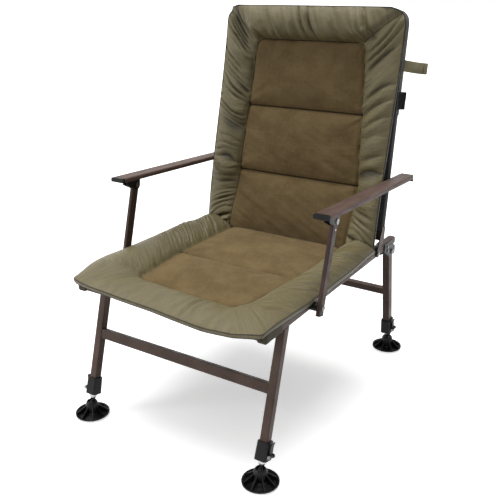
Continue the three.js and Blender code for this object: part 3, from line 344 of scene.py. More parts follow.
# Shape helpers: whole arrays, one row of the grid after another
def smooth(share):
    share = np.clip(share, 0, 1)
    return share * share * (3 - 2 * share)


def rising(value, start, width):
    # 0 before the start, 1 after the width; a negative width falls the other way
    return smooth((value - start) / width)


def unit(value, low, high):
    return np.clip((value - low) / (high - low), 0, 1)


def between(first, second, share):
    return first + (second - first) * share


def arch(share):
    # half an ellipse over shares from 0 to 1
    return np.sqrt(np.maximum(0, 4 * share * (1 - share)))


def bell(value, width):
    return np.exp(-((value / width) ** 2))


def distances(path):
    # distance along a path of points, from its first one
    return np.concatenate([[0], np.cumsum(np.linalg.norm(np.diff(path, axis=0), axis=1))])


def roundedEnd(half, corner, over):
    # half-width of an outline, drawn in by a quarter circle where over, the way past its centre, is positive
    return half - corner + np.sqrt(np.maximum(corner**2 - over**2, 0))


def unrolled(around, along):
    # flat places of a grid from the distances around its section and along its run
    return np.stack(np.broadcast_arrays(around[None, :], along[:, None]), -1)


def gridQuads(rows, columns, closeRows=False, closeColumns=False):
    i, j = np.meshgrid(
        np.arange(rows if closeRows else rows - 1),
        np.arange(columns if closeColumns else columns - 1),
        indexing="ij",
    )
    nextRow, nextColumn = (i + 1) % rows, (j + 1) % columns
    corners = [(i, j), (i, nextColumn), (nextRow, nextColumn), (nextRow, j)]
    return np.stack([row * columns + column for row, column in corners], -1).reshape(-1, 4)


def buildMesh(name, points, faces, finish, flat=None, values=None, facets=False):
    mesh = bpy.data.meshes.new(name)
    mesh.from_pydata(points.reshape(-1, 3).tolist(), [], [list(map(int, face)) for face in faces])
    if flat is not None:
        corners = np.zeros(len(mesh.loops), np.int32)
        mesh.loops.foreach_get("vertex_index", corners)
        layer = mesh.uv_layers.new(name="UVMap")
        layer.data.foreach_set("uv", flat.reshape(-1, 2)[corners].astype(np.float32).ravel())
    for label, data in (values or {}).items():
        kind, field = ("FLOAT_VECTOR", "vector") if data.ndim == 2 else ("FLOAT", "value")
        mesh.attributes.new(label, kind, "POINT").data.foreach_set(field, data.astype(np.float32).ravel())
    work = bmesh.new()
    work.from_mesh(mesh)
    bmesh.ops.remove_doubles(work, verts=work.verts, dist=1e-6)
    bmesh.ops.recalc_face_normals(work, faces=work.faces)
    work.to_mesh(mesh)
    work.free()
    mesh.polygons.foreach_set("use_smooth", [not facets] * len(mesh.polygons))
    mesh.materials.append(finishes[finish])
    return linked(name, mesh)


def carried(name, path, section, finish, upward, closed=False, facets=False):
    # a closed section (side, up) carried along a path; upward gives each place's own up
    path, section = np.asarray(path, float), np.asarray(section, float)
    upward = np.broadcast_to(np.asarray(upward, float), path.shape)
    ahead = np.roll(path, -1, 0) - np.roll(path, 1, 0)
    if not closed:
        ahead[0], ahead[-1] = path[1] - path[0], path[-1] - path[-2]
    ahead /= np.linalg.norm(ahead, axis=1)[:, None]
    side = np.cross(ahead, upward)
    side /= np.linalg.norm(side, axis=1)[:, None]
    up = np.cross(side, ahead)
    points = path[:, None] + side[:, None] * section[None, :, :1] + up[:, None] * section[None, :, 1:]
    rows, columns = len(path), len(section)
    faces = gridQuads(rows, columns, closed, True).tolist()
    if not closed:
        faces += [list(range(columns)), list(range((rows - 1) * columns, rows * columns))]
    flat = unrolled(distances(section), distances(path))
    return buildMesh(name, points, faces, finish, flat, facets=facets)


def roundedSection(width, height, radius, steps=4):
    # rounded rectangle, counter-clockwise from the right side
    turn = np.linspace(0, math.pi / 2, steps)
    arc = np.stack([np.cos(turn), np.sin(turn)], 1) * radius
    centre = np.array([width / 2 - radius, height / 2 - radius])
    first = arc + centre
    second = arc[::-1] * [-1, 1] + centre * [-1, 1]
    return np.concatenate([first, second, -first, -second])


def turned(name, profile, centre, axis, finish, sides=24, flats=0, facets=False):
    # a profile of (radius, height) turned about an axis; with flats the radius follows that polygon
    profile = np.asarray(profile, float)
    angle = np.linspace(0, 2 * math.pi, sides, endpoint=False)
    reach = np.ones(sides)
    if flats:
        step = 2 * math.pi / flats
        reach = np.cos(step / 2) / np.cos((angle % step) - step / 2)
    axis = Vector(axis).normalized()
    across = axis.orthogonal().normalized()
    other = axis.cross(across)
    ring = np.cos(angle)[:, None] * np.array(across) + np.sin(angle)[:, None] * np.array(other)
    points = profile[:, None, :1] * (ring * reach[:, None])[None] + profile[:, None, 1:] * np.array(axis)
    points = points + np.asarray(centre, float)
    faces = gridQuads(len(profile), sides, False, True).tolist()
    faces += [list(range(sides)), list(range((len(profile) - 1) * sides, len(profile) * sides))]
    return buildMesh(name, points, faces, finish, facets=facets)


def declare(piece, body, replaced=None):
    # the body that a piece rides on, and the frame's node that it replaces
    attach(piece, body)
    if replaced:
        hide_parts(replaced)


# The leaning back's own directions: rise along it and reach behind it
leanRise = np.array([0, math.sin(backLean), math.cos(backLean)])
leanReach = np.array([0, math.cos(backLean), -math.sin(backLean)])


def fromBack(x, reach, rise):
    # back frame: reach behind the hinge line and rise along the leaning back, to the room
    y = backHinge[1] + reach * math.cos(backLean) + rise * math.sin(backLean)
    z = backHinge[2] - reach * math.sin(backLean) + rise * math.cos(backLean)
    return np.stack(np.broadcast_arrays(x, y, z), -1)


def finer(grid):
    # along both ways a point between each pair of neighbours, on the cubic through four of them
    for axis in (0, 1):
        grid = np.moveaxis(grid, axis, 0)
        before = np.concatenate([2 * grid[:1] - grid[1:2], grid[:-2]])
        after = np.concatenate([grid[2:], 2 * grid[-1:] - grid[-2:-1]])
        middle = (9 * (grid[:-1] + grid[1:]) - before - after) / 16
        made = np.empty((2 * len(grid) - 1,) + grid.shape[1:])
        made[0::2], made[1::2] = grid, middle
        grid = np.moveaxis(made, 0, axis)
    return grid


# A sewn case: a front and a back grid joined by a bulging rim
def rimOrder(rows, columns):
    top = np.arange(columns)
    right = np.arange(1, rows) * columns + columns - 1
    bottom = (rows - 1) * columns + np.arange(columns - 2, -1, -1)
    left = np.arange(rows - 2, 0, -1) * columns
    return np.concatenate([top, right, bottom, left])


def caseFaces(rows, columns, loops):
    # faces of front grid, back grid and the loops of the rim between them
    front = gridQuads(rows, columns)
    count = rows * columns
    back = front[:, ::-1] + count
    order = rimOrder(rows, columns)
    middle = [2 * count + k * len(order) + np.arange(len(order)) for k in range(loops)]
    rings = [order, *middle, order + count]
    faces = [front, back]
    for first, second in zip(rings[:-1], rings[1:]):
        faces.append(np.stack([first, second, np.roll(second, -1), np.roll(first, -1)], -1))
    return np.concatenate(faces), order


def casePoints(front, back, loops, bulge):
    # the rim's loops stand out from the line between the grids, away from the middle of the front
    order = rimOrder(*front.shape[:2])
    front, back = front.reshape(-1, 3), back.reshape(-1, 3)
    high, lift = front[order], front[order] - back[order]
    outward = high - front.mean(0)
    outward -= lift * (outward * lift).sum(1)[:, None] / np.maximum((lift * lift).sum(1), 1e-9)[:, None]
    outward /= np.linalg.norm(outward, axis=1)[:, None]
    shares = np.arange(1, loops + 1) / (loops + 1)
    rings = [high - lift * share + outward * bulge * 4 * share * (1 - share) for share in shares]
    return np.concatenate([front, back, *rings])


cloth = {
    "frames": 20, "lattice": (97, 89),
    "settings": {
        "use_pressure": True, "uniform_pressure_force": 4.0, "tension_stiffness": 12,
        "compression_stiffness": 12, "bending_stiffness": 0.4, "mass": 0.25, "quality": 5,
        "vertex_group_mass": "held", "vertex_group_shrink": "loose", "shrink_min": 0, "shrink_max": -0.10,
    },
}


def puff(name, points, faces, pinned, gathered, cap):
    # cloth under inner pressure, with extra cloth where it is gathered; no point moves past the cap
    mesh = bpy.data.meshes.new(name)
    mesh.from_pydata(points.tolist(), [], faces.tolist())
    trial = linked(name, mesh)
    for label, weights in (("held", pinned), ("loose", gathered)):
        group = trial.vertex_groups.new(name=label)
        for weight in np.unique(np.round(weights, 1)):
            chosen = np.nonzero(np.abs(weights - weight) < 0.05)[0]
            group.add(chosen.tolist(), float(weight), "REPLACE")
    bpy.context.view_layer.update()
    modifier = trial.modifiers.new("Cloth", "CLOTH")
    for field, value in cloth["settings"].items():
        setattr(modifier.settings, field, value)
    modifier.settings.effector_weights.gravity = 0
    modifier.point_cache.frame_start, modifier.point_cache.frame_end = 1, cloth["frames"]
    for number in range(1, cloth["frames"] + 1):
        scene.frame_set(number)
    shaped = trial.evaluated_get(bpy.context.evaluated_depsgraph_get()).data
    moved = np.zeros(len(points) * 3, np.float32)
    shaped.vertices.foreach_get("co", moved)
    scene.frame_set(1)
    bpy.data.objects.remove(trial)
    step = moved.reshape(-1, 3).astype(float) - points
    far = np.linalg.norm(step, axis=1)
    print(name, "puffed by up to", round(float(far.max()) * 1000, 1), "mm")
    return points + step * np.minimum(1, cap / np.maximum(far, 1e-9))[:, None]


def roundedGap(first, second, radius):
    # signed distance to a rounded corner from the distances past its two sides
    a, b = first + radius, second + radius
    return np.minimum(np.maximum(a, b), 0) + np.hypot(np.maximum(a, 0), np.maximum(b, 0)) - radius


def borderShare(panel, inward):
    # from 0 at the panel's outline to 1 at the mattress's edge, and 0 inside the panel
    near, far = np.clip(panel, 0, None), np.clip(inward, 0, None)
    return np.where(panel > 0, near / np.maximum(near + far, 1e-6), 0)


def sewnValley(panel, cross, depth=0.006, width=0.010):
    # grooves along the cross seams, and half as deep round the panel
    groove = np.where(panel < 0, np.clip(1 - cross / width, 0, 1), 0)
    return depth * (groove + 0.5 * np.clip(1 - np.abs(panel) / width, 0, 1) ** 1.5)


def patches(across, along, seed):
    # smooth random values between 0 and 1 on a seeded lattice of unit squares
    columns, rows = cloth["lattice"]
    values = np.random.default_rng(seed).uniform(0, 1, (columns, rows))
    i, j = np.floor(across).astype(int), np.floor(along).astype(int)
    a, b = smooth(across - i), smooth(along - j)
    near = between(values[i % columns, j % rows], values[(i + 1) % columns, j % rows], a)
    far = between(values[i % columns, (j + 1) % rows], values[(i + 1) % columns, (j + 1) % rows], a)
    return between(near, far, b)


def ruches(across, along, spacing, length, seed, drifting, level, depth):
    # gathered cloth: rounded ridges with sharp valleys between them, each fading in and out along its length
    drift = 2.4 * patches(across / (3.1 * spacing) + 3, along / (1.3 * length) + 5, seed)
    drift += 0.8 * patches(across / (1.2 * spacing) + 41, along / (0.6 * length) + 23, seed + 1)
    cut = smooth(2.0 * patches(across / (1.5 * spacing) + 11, along / length + 7, seed + 2) - 0.55)
    ridge = np.abs(np.sin(math.pi * (across / spacing + drift * drifting))) ** 0.65
    return (1 - (1 - ridge) * (0.08 + 0.92 * cut) - level) * depth


def folds(across, along, spacing, length, seed, depth):
    # broad soft swells that fade out along their length
    swell = patches(across / spacing + 13, along / length + 29, seed)
    swell += 0.4 * patches(across / (0.5 * spacing) + 19, along / (0.7 * length) + 37, seed + 1)
    return (swell - 0.7) * depth


# Seat half of the mattress. Pairs such as liftFrom are the place where a change starts and its width
seat = {
    "front": -0.386, "nose": -0.3576, "panelFront": -0.281, "seam": -0.072, "rear": 0.1627,
    "halfFront": 0.263, "half": 0.268, "flare": 0.105, "panelHalfFront": 0.150, "panelHalfRear": 0.173,
    "panelSkew": 0.065, "corner": 0.007, "panelCorners": (0.024, 0.036), "setbacks": (0.014, 0.003),
    "panelTop": 0.361, "sideBulge": 0.022, "frontBulge": 0.012, "crown": 0.007, "crownSpread": 0.05,
    "sideEdge": 0.3632, "sideLifts": (0.008, -0.006), "liftFrom": (-0.32, 0.18), "liftUntil": (0.02, 0.12),
    "shoulder": (0.010, -0.275, 0.075), "sideGusset": 0.013, "frontGusset": 0.009,
    "frontPlaces": (-0.263, -0.21, -0.16, -0.018, 0.049, 0.1145, 0.132, 0.19, 0.263),
    "frontEdge": (0.3572, 0.3592, 0.3595, 0.3535, 0.3475, 0.3430, 0.3435, 0.3480, 0.3590),
    "railTop": 0.3627, "railOuter": 0.2485, "railRound": 0.014, "sag": 0.029, "sagFront": -0.337,
    "sagRear": 0.220, "sagFade": 0.11, "sagHalf": 0.2377, "inset": 0.003, "least": 0.004,
    "cap": 0.007, "folded": 0.12, "mitre": 0.02, "rows": (21, 37, 42), "columns": 95,
}
# Gathers of its border: spacing, length, seed, drift, level and depth of ruches, the first three and the
# depth of folds; a pleat's place, slope, width, depth and the shares of the border that it starts and ends
# at. ruchedFrom is each side's least amount, and where its rise starts and its width
seatFolding = {
    "outward": 0.20, "forward": -0.33, "slopes": (0.78, 0.10), "shift": 1.7,
    "ruchedFrom": ((0.10, -0.12, 0.16), (0.20, -0.24, 0.18)),
    "ruched": (0.0140, 0.07, 41, 0.7, 0.72, 0.0125), "pinch": (0.0095, 0.03, 59, 1, 0.7, 0.0045),
    "swell": (0.05, 0.12, 47, 0.009), "front": (0.045, 0.10, 53, 0.0045), "pinchReach": 0.016,
    "pleats": ((0.060, 0.12, 0.0045, 0.005, 0.15, 1.1), (0.082, 0.30, 0.004, 0.0035, 0.2, 0.7)),
    # the last pair: the height of the gathers where painted shade starts, and the drop to its full depth
    "napShare": 0.7, "paintedShade": (-0.0018, -0.006),
}


def seatPlan(y):
    # half-width of the mattress at each place along it, its front corners rounded
    half = between(seat["halfFront"], seat["half"], rising(y, seat["front"], seat["flare"]))
    return roundedEnd(half, seat["corner"], np.maximum(0, seat["corner"] - (y - seat["front"])))


def seatFields(x, y):
    # distance past the panel's outline, the border's share from there to the edge, and how far it is a side
    front = seat["panelFront"] - seat["panelSkew"] * x
    panelHalf = between(seat["panelHalfFront"], seat["panelHalfRear"], unit(y, front, seat["seam"]))
    panel = roundedGap(np.abs(x) - panelHalf, front - y, np.where(x < 0, *seat["panelCorners"]))
    half = seatPlan(np.maximum(y, seat["front"] + seat["corner"]))
    inward = -roundedGap(np.abs(x) - half, seat["front"] - y, seat["corner"])
    mitre = seat["mitre"]
    sideways = np.maximum(0, np.abs(x) - panelHalf + mitre) / (half - panelHalf + mitre)
    forward = np.maximum(0, front + mitre - y) / (front + mitre - seat["front"])
    side = rising(sideways / np.maximum(sideways + forward, 1e-6), 0.32, 0.36)
    return panel, borderShare(panel, inward), side


def seatEdge(x, y, side):
    # height of the border's lower edge: up along the sides, hanging to one low point in front
    lift = rising(y, *seat["liftFrom"]) * (1 - rising(y, *seat["liftUntil"]))
    rise, place, width = seat["shoulder"]
    shoulder = rise * bell(y - place, width) * (x < 0)
    sideEdge = seat["sideEdge"] + np.where(x < 0, *seat["sideLifts"]) * lift + shoulder
    return between(np.interp(x, seat["frontPlaces"], seat["frontEdge"]), sideEdge, side)


def seatTop(x, y):
    # the border arches from the panel to its edge, the two channels of the panel are pillows
    panel, share, side = seatFields(x, y)
    edge = seatEdge(x, y, side) + between(seat["frontGusset"], seat["sideGusset"], side)
    climb = between(seat["frontBulge"], seat["sideBulge"], side) * np.sin(math.pi * share**0.95) ** 0.8
    z = seat["panelTop"] + (edge - seat["panelTop"]) * share ** (2.2 - 0.8 * side) + climb
    past = unit(y, seat["seam"], seat["rear"])
    rearPillow = np.sqrt(0.7 * arch(past) ** 2 + 0.3 * (past > 0.5))
    pillow = np.where(y > seat["seam"], rearPillow, arch(unit(y, seat["panelFront"], seat["seam"])))
    z = z + seat["crown"] * pillow * np.clip(-panel / seat["crownSpread"], 0, 1) ** 0.5
    return z - sewnValley(panel, np.abs(y - seat["seam"]))


def seatFolds(x, y):
    # the lines of the border's folds: outwards and rearwards at the sides, forwards in front
    side = seatFields(x, y)[2]
    outward, forward = np.abs(x) - seatFolding["outward"], y - seatFolding["forward"]
    sideSlope, frontSlope = seatFolding["slopes"]
    across = (y - sideSlope * outward) * side + (x - frontSlope * forward) * (1 - side)
    return across, outward * side + forward * (1 - side)


def seatGathers(x, y):
    # ruched where the borders near the back, smooth at the front corners, soft folds over the front edge
    panel, share, side = seatFields(x, y)
    across, along = seatFolds(x, y)
    body = np.sin(math.pi * share**0.8) ** 0.5 * (panel > 0)
    amounts = [between(least, 1, rising(y, *place)) for least, *place in seatFolding["ruchedFrom"]]
    near = np.where(x < 0, *amounts)
    moved = across + np.where(x < 0, 0, seatFolding["shift"])
    ruched = ruches(moved, along, *seatFolding["ruched"]) * near
    swell = folds(moved, along, *seatFolding["swell"]) * (0.3 + 0.7 * near)
    front = folds(across, along, *seatFolding["front"]) * (1 - 0.5 * share)
    for place, slope, width, depth, start, end in seatFolding["pleats"]:
        line = bell(x - place - slope * (y - seatFolding["forward"]), width)
        front = front - depth * line * smooth(share / start) * (share < end)
    close = bell(np.maximum(panel, 0), seatFolding["pinchReach"]) * (panel > 0)
    pinch = ruches(moved, along, *seatFolding["pinch"]) * close
    return body * between(front, ruched + swell, side) + pinch


def slingDip(x, y):
    # how far the seat's sling hangs between the rails
    across = np.minimum(1, np.abs(x) / seat["sagHalf"])
    fade = rising(y, seat["sagFront"], seat["sagFade"]) * smooth((seat["sagRear"] - y) / seat["sagFade"])
    return seat["sag"] * (1 - across**4) * fade


def seatUnder(x, y):
    # on the rails and the sling, lifting to the edge outside the rails and dropping to it before their ends
    z = seat["railTop"] - slingDip(x, y)
    outside = rising(np.abs(x), seat["railOuter"], seat["railRound"])
    ahead = smooth((seat["nose"] - y) / (seat["nose"] - seat["front"]))
    return between(z, seatEdge(x, y, seatFields(x, y)[2]), np.maximum(outside, ahead))


def gridRows(stops, counts):
    # places between the stops, so many in each stretch
    stretches = [np.linspace(*ends, count) for *ends, count in zip(stops[:-1], stops[1:], counts)]
    return np.concatenate([stretches[0]] + [stretch[1:] for stretch in stretches[1:]])


def seatCase():
    # the top grid bows back at its front edge; the under grid is a little narrower and always below it
    rows = gridRows([seat[name] for name in ("front", "panelFront", "seam", "rear")], seat["rows"])
    across, y = np.meshgrid(np.linspace(-1, 1, seat["columns"]), rows)
    x = across * seatPlan(y)
    ahead = np.maximum(0, (seat["panelFront"] - y) / (seat["panelFront"] - seat["front"]))
    bow = np.where(x < 0, *seat["setbacks"]) * across**4 * ahead
    top = np.stack([x, y + bow, seatTop(x, y)], -1)
    low = x * (1 - seat["inset"] / seat["half"])
    underY = np.maximum(y, seat["front"] + seat["inset"] * 0.6)
    height = np.minimum(seatUnder(low, y), top[..., 2] - seat["least"])
    return x, y, top, np.stack([low, underY + bow, height], -1)


def seatSeams(x, y):
    panel = seatFields(x, y)[0]
    cross = np.where(panel < 0.001, np.abs(y - seat["seam"]), 1)
    return panel, np.minimum(np.abs(panel) + case["fineSeam"], cross)


case = {
    "loops": 5, "rimBulge": 0.0025, "seamPinch": 0.0028, "seamSpread": 0.0035, "fineSeam": 0.0012,
    "heldFrom": (0.002, 0.004), "looseFrom": 0.004, "farSeam": 0.05, "gussetStep": 0.002,
    "nylon": 0.05, "lining": 1.0,
}


def sewCase(name, front, back, seam, panel, cap):
    # pressure swells each channel between its seams, then both grids are refined
    rows, columns = front.shape[:2]
    faces, order = caseFaces(rows, columns, case["loops"])
    points = casePoints(front, back, case["loops"], case["rimBulge"])
    count = rows * columns
    held, loose = np.ones(len(points)), np.zeros(len(points))
    seamHalf, seamFade = case["heldFrom"]
    held[:count] = np.clip(1 - (seam - seamHalf) / seamFade, 0, 1).ravel()
    held[order] = 1
    loose[:count] = (panel > case["looseFrom"]).ravel()
    points = puff(name + "_trial", points, faces, held, loose, cap)
    return [finer(grid.reshape(rows, columns, 3)) for grid in (points[:count], points[count:2 * count])]


def closeCase(name, front, back, flat, panel, seam, lines, paintedShade, gusset):
    # joins the grids by the gusset; panel is 1 on the lining, seam runs along both of the gusset's edges
    rows, columns = front.shape[:2]
    loopCount = case["loops"]
    faces, order = caseFaces(rows, columns, loopCount)
    points = casePoints(front, back, loopCount, case["rimBulge"])
    frontRim, backRim = front.reshape(-1, 3)[order], back.reshape(-1, 3)[order]
    height = np.linalg.norm(frontRim - backRim, axis=1)
    rings = [np.minimum(k, loopCount + 1 - k) / (loopCount + 1) * height for k in range(1, loopCount + 1)]
    seam, lining = seam.flatten(), np.full(seam.size, case["farSeam"])
    seam[order] = lining[order] = 0
    around, steps = distances(frontRim), case["gussetStep"] * np.arange(loopCount)
    rim = [np.stack([around, np.full(len(order), step)], -1) for step in steps]
    flat, lines = flat.reshape(-1, 2), lines.reshape(-1, 3)
    rimCount = order.size * loopCount
    values = {
        "panel": np.concatenate([panel.ravel(), [case["lining"]] * seam.size, [gusset] * rimCount]),
        "seam": np.concatenate([seam, lining, *rings]),
        "paintedShade": np.concatenate([paintedShade.ravel(), np.zeros(seam.size + rimCount)]),
        "lines": np.concatenate([lines] * 2 + [lines[order]] * loopCount),
    }
    return buildMesh(name, points, faces, "mattress_cloth", np.concatenate([flat, flat, *rim]), values)


def nap(across, along, panel, seed):
    # faint slanting wrinkles and dimples in the fleece, fading out at the panel's outline
    slant = folds(along + 0.45 * across, across - 0.2 * along, 0.020, 0.11, seed, 0.0016)
    return (slant + folds(across, along, 0.035, 0.035, seed + 2, 0.0011)) * smooth(-panel / 0.02)


def swelled(gathered, seam):
    # the gathers with the cloth pinched down along each seam
    return gathered - case["seamPinch"] * bell(seam, case["seamSpread"])


def makeSeat():
    x, y, top, under = seatCase()
    panel, seam = seatSeams(x, y)
    front, back = sewCase("seat_mattress", top, under, seam, panel, seat["cap"])
    x, y = finer(x), finer(y)
    panel, seam = seatSeams(x, y)
    gathered = seatGathers(x, y) + nap(x, y, panel, 101) * seatFolding["napShare"]
    front[..., 2] += swelled(gathered, seam)
    # painted shade in the valleys of the gathers
    paintedShade = rising(gathered, *seatFolding["paintedShade"])
    lines, flat = np.stack([*seatFolds(x, y), 0 * x], -1), np.stack([x, y], -1)
    piece = closeCase("seat_mattress", front, back, flat, panel, seam, lines, paintedShade, case["nylon"])
    return piece, front, back


def squashSeat(piece):
    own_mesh(piece)


def declareHalf(piece, body, replaced, squash):
    declare(piece, body, replaced)
    squash(piece)
    print(piece.name.replace("_", " "), "sewn:", len(piece.data.polygons), "faces")


seatPiece, seatFront, seatBack = makeSeat()
declareHalf(seatPiece, "seat_frame", "seat_pad", squashSeat)


# Back half of the mattress, in the leaning back's own reach and rise
back = {
    "waistHalf": 0.2602, "topHalf": 0.2605, "waistRise": 0.250, "top": 0.617, "corner": 0.040,
    "panelHalf": 0.184, "panelTopHalf": 0.160, "panelTop": 0.532, "panelCorner": 0.024,
    "seams": (0.170, 0.353), "reachTop": 0.003, "reachBottom": 0.046, "depthBottom": 0.044,
    "depthTop": 0.007, "fade": 0.170, "crown": 0.007, "crownSpread": 0.05, "crownRise": 0.06,
    "topRoll": 0.031, "edgeDrop": 0.009, "mitreStart": 0.007, "mitreEnd": 0.011,
    "mitreGroove": (0.010, 0.003), "inset": 0.003, "tube": 0.021, "tubeGap": 0.005, "slingSag": 0.014,
    "slingHalf": 0.2371, "slingThick": 0.0018,
    "sleeveHalf": 0.0113, "sleeveGap": 0.0006, "thick": 0.028, "edgeThick": 0.019, "lowest": 0.3627,
    "squashReach": 0.0185, "folded": 0.1, "cap": 0.007, "rows": (31, 33, 32, 18), "columns": 95,
}
# Gathers of its border, with the same columns as the seat's. The two entries after pinchReach are painted
# shade: the first, as the seat's, darkens the valleys of the gathers; the second, like lowNap, is an amount,
# the place where it starts and the width, and darkens the fleece towards the foot of the back
backFolding = {
    "rises": (0, 0.09, 0.20, 0.35, 0.48, 0.60), "slopes": (-0.80, -0.35, 0.25, 0.62, 0.85, 1.5),
    "outward": 0.215, "upward": 0.57, "topSlope": 0.48, "waistUntil": (0.13, -0.08),
    "leftRises": (0.10, 0.17, 0.27, 0.32, 0.42), "leftShares": (0.9, 0.45, 0.45, 1.0, 1.0),
    "left": ((0.0185, 0.06, 61, 1, 0.72, 0.0180), (0.042, 0.09, 63, 0.015)),
    "right": ((0.040, 0.11, 67, 0.7, 0.75, 0.0105), (0.05, 0.10, 69, 0.014)),
    "waist": ((0.017, 0.07, 71, 0.7, 0.72, 0.0230), (0.045, 0.08, 75, 0.014)),
    "top": ((0.027, 0.10, 73, 0.6, 0.75, 0.0150), (0.030, 0.12, 77, 0.028)),
    "pinch": (0.0105, 0.03, 79, 1, 0.7, 0.0065), "topPinch": (0.0145, 0.05, 81, 1, 0.7, 0.00975),
    "pinchReach": (0.021, 0.035), "paintedShade": (-0.0018, -0.0065), "lowPaintedShade": (0.55, 0.20, -0.22),
    "lowNap": (1.6, 0.36, -0.2),
}


def backSide(u):
    # the mattress's half-width, eased from its waist to its top
    return between(back["waistHalf"], back["topHalf"], rising(u, back["waistRise"], back["waistRise"]))


def backHalf(u):
    # the same with its top corners rounded
    return roundedEnd(backSide(u), back["corner"], np.maximum(0, u - (back["top"] - back["corner"])))


def backFields(x, u):
    # distance past the panel's outline, the border's share to the edge, and how far it is beside and above
    share = unit(u, back["seams"][0], back["panelTop"])
    panelHalf, half = between(back["panelHalf"], back["panelTopHalf"], share), backSide(u)
    panel = roundedGap(np.abs(x) - panelHalf, u - back["panelTop"], back["panelCorner"])
    inward = -roundedGap(np.abs(x) - half, u - back["top"], back["corner"])
    sideways = np.maximum(0, np.abs(x) - panelHalf) / (half - panelHalf)
    upward = np.maximum(0, u - back["panelTop"]) / (back["top"] - back["panelTop"])
    return panel, borderShare(panel, inward), sideways, upward


def edgeReach(u):
    # the border's edge follows the lumbar curve, half a cosine from bottom to top
    lumbar = back["reachBottom"] - back["reachTop"]
    return -back["reachTop"] - lumbar * (1 + np.cos(math.pi * u / back["top"])) / 2


def mitreGap(x, u):
    # distance to the line from the panel's corner to the mattress's own corner
    start = np.array([back["panelTopHalf"], back["panelTop"]]) - back["mitreStart"]
    line = np.array([back["topHalf"], back["top"]]) - back["mitreEnd"] - start
    place = np.stack([np.abs(x), u], -1) - start
    share = np.clip((place @ line) / (line @ line), 0, 1)
    return np.linalg.norm(place - share[..., None] * line, axis=-1)


def crossGap(u):
    # distance to the nearer cross seam
    return np.minimum(*[np.abs(u - rise) for rise in back["seams"]])


def backSeams(x, u):
    panel = backFields(x, u)[0]
    inside = np.where(panel < 0.001, crossGap(u), 1)
    mitre = np.where(panel > 0, mitreGap(x, u) + case["fineSeam"] * 0.6, 1)
    return panel, np.minimum(np.minimum(np.abs(panel) + case["fineSeam"] * 0.4, inside), mitre)


def backFront(x, u):
    # the border climbs from the panel to a peak and falls to the edge, steeper where it rolls over the top
    panel, border, sideways, upward = backFields(x, u)
    overTop = rising(upward - sideways, -0.3, 0.6)
    peak = 0.6 - 0.24 * overTop
    climb = np.sin(np.minimum(1, border / peak) * math.pi / 2)
    fall = np.maximum(0, (border - peak) / (1 - peak)) ** (2.2 - 0.4 * overTop) * (1 + overTop)
    depth = between(back["depthBottom"], back["depthTop"], u / back["top"]) * smooth(u / back["fade"])
    lift = np.maximum(depth, back["topRoll"] * overTop)
    stops = (0.0, *back["seams"], back["panelTop"])
    pillow = sum(arch(unit(u, start, end)) for start, end in zip(stops[:-1], stops[1:]))
    pillow = pillow * np.clip(-panel / back["crownSpread"], 0, 1) ** 0.5 * smooth(u / back["crownRise"])
    width, deep = back["mitreGroove"]
    mitre = np.clip(1 - mitreGap(x, u) / width, 0, 1) * deep * (panel > 0)
    front = edgeReach(u) + depth - lift * climb + back["edgeDrop"] * fall - back["crown"] * pillow
    return front + sewnValley(panel, crossGap(u)) + mitre


def backFolds(x, u):
    # the lines of the border's folds: outwards and up at the sides, steeper near the top, upright above
    sideways, upward = backFields(x, u)[2:]
    slope = np.interp(u, backFolding["rises"], backFolding["slopes"])
    outward, over = np.abs(x) - backFolding["outward"], u - backFolding["upward"]
    overTop = rising(upward - sideways, -0.10, 0.20)
    return u - outward * slope, outward, x + backFolding["topSlope"] * over, over, overTop


def gatheredFolds(across, along, name, share=1, shift=0):
    # one border's ruches laid over its broad folds
    ruched, swells = backFolding[name]
    return ruches(across + shift, along, *ruched) * share + folds(across, along, *swells)


def backGathers(x, u):
    # tight ruches on the left border, broad folds on the right, upright gathers above and fans at the waist
    panel, border = backFields(x, u)[:2]
    across, along, topAcross, topAlong, overTop = backFolds(x, u)
    body = np.sin(math.pi * border**0.75) ** 0.4 * (panel > 0)
    low = rising(u, *backFolding["waistUntil"])
    middle = np.interp(u, backFolding["leftRises"], backFolding["leftShares"])
    left, right = gatheredFolds(across, along, "left", middle), gatheredFolds(across + 2, along, "right")
    side = between(np.where(x < 0, left, right), gatheredFolds(across, along, "waist", shift=1), low)
    close = bell(np.maximum(panel, 0), between(*backFolding["pinchReach"], overTop)) * (panel > 0)
    pinch = ruches(across, along, *backFolding["pinch"]) * (1 - overTop)
    pinch = pinch + ruches(topAcross, topAlong, *backFolding["topPinch"]) * overTop
    return body * between(side, gatheredFolds(topAcross, topAlong, "top"), overTop) + pinch * close


def backRear(x, u, front):
    # on the sling between the tubes, forward of their sleeves and of the top tube
    panelHalf, panelTop = back["panelHalf"], back["panelTop"]
    nearTube = smooth((np.abs(x) - panelHalf) / (back["slingHalf"] - back["tubeGap"] - panelHalf))
    overTop = rising(u, panelTop, (back["top"] - panelTop) / 3)
    across = np.minimum(1, np.abs(x) / back["slingHalf"])
    slingFront = back["tube"] - back["slingThick"] + back["slingSag"] * (1 - across**4)
    middle = np.minimum(slingFront, front + back["thick"])
    edge = np.minimum(back["tube"] - back["sleeveHalf"] - back["sleeveGap"], edgeReach(u) + back["edgeThick"])
    return between(middle, edge, np.maximum(nearTube, overTop))


def backPoints(x, reach, u):
    # to the room, no lower than the tops of the seat's rails
    lowest = (back["lowest"] - backHinge[2] + reach * math.sin(backLean)) / math.cos(backLean)
    return fromBack(x, reach, np.maximum(u, lowest))


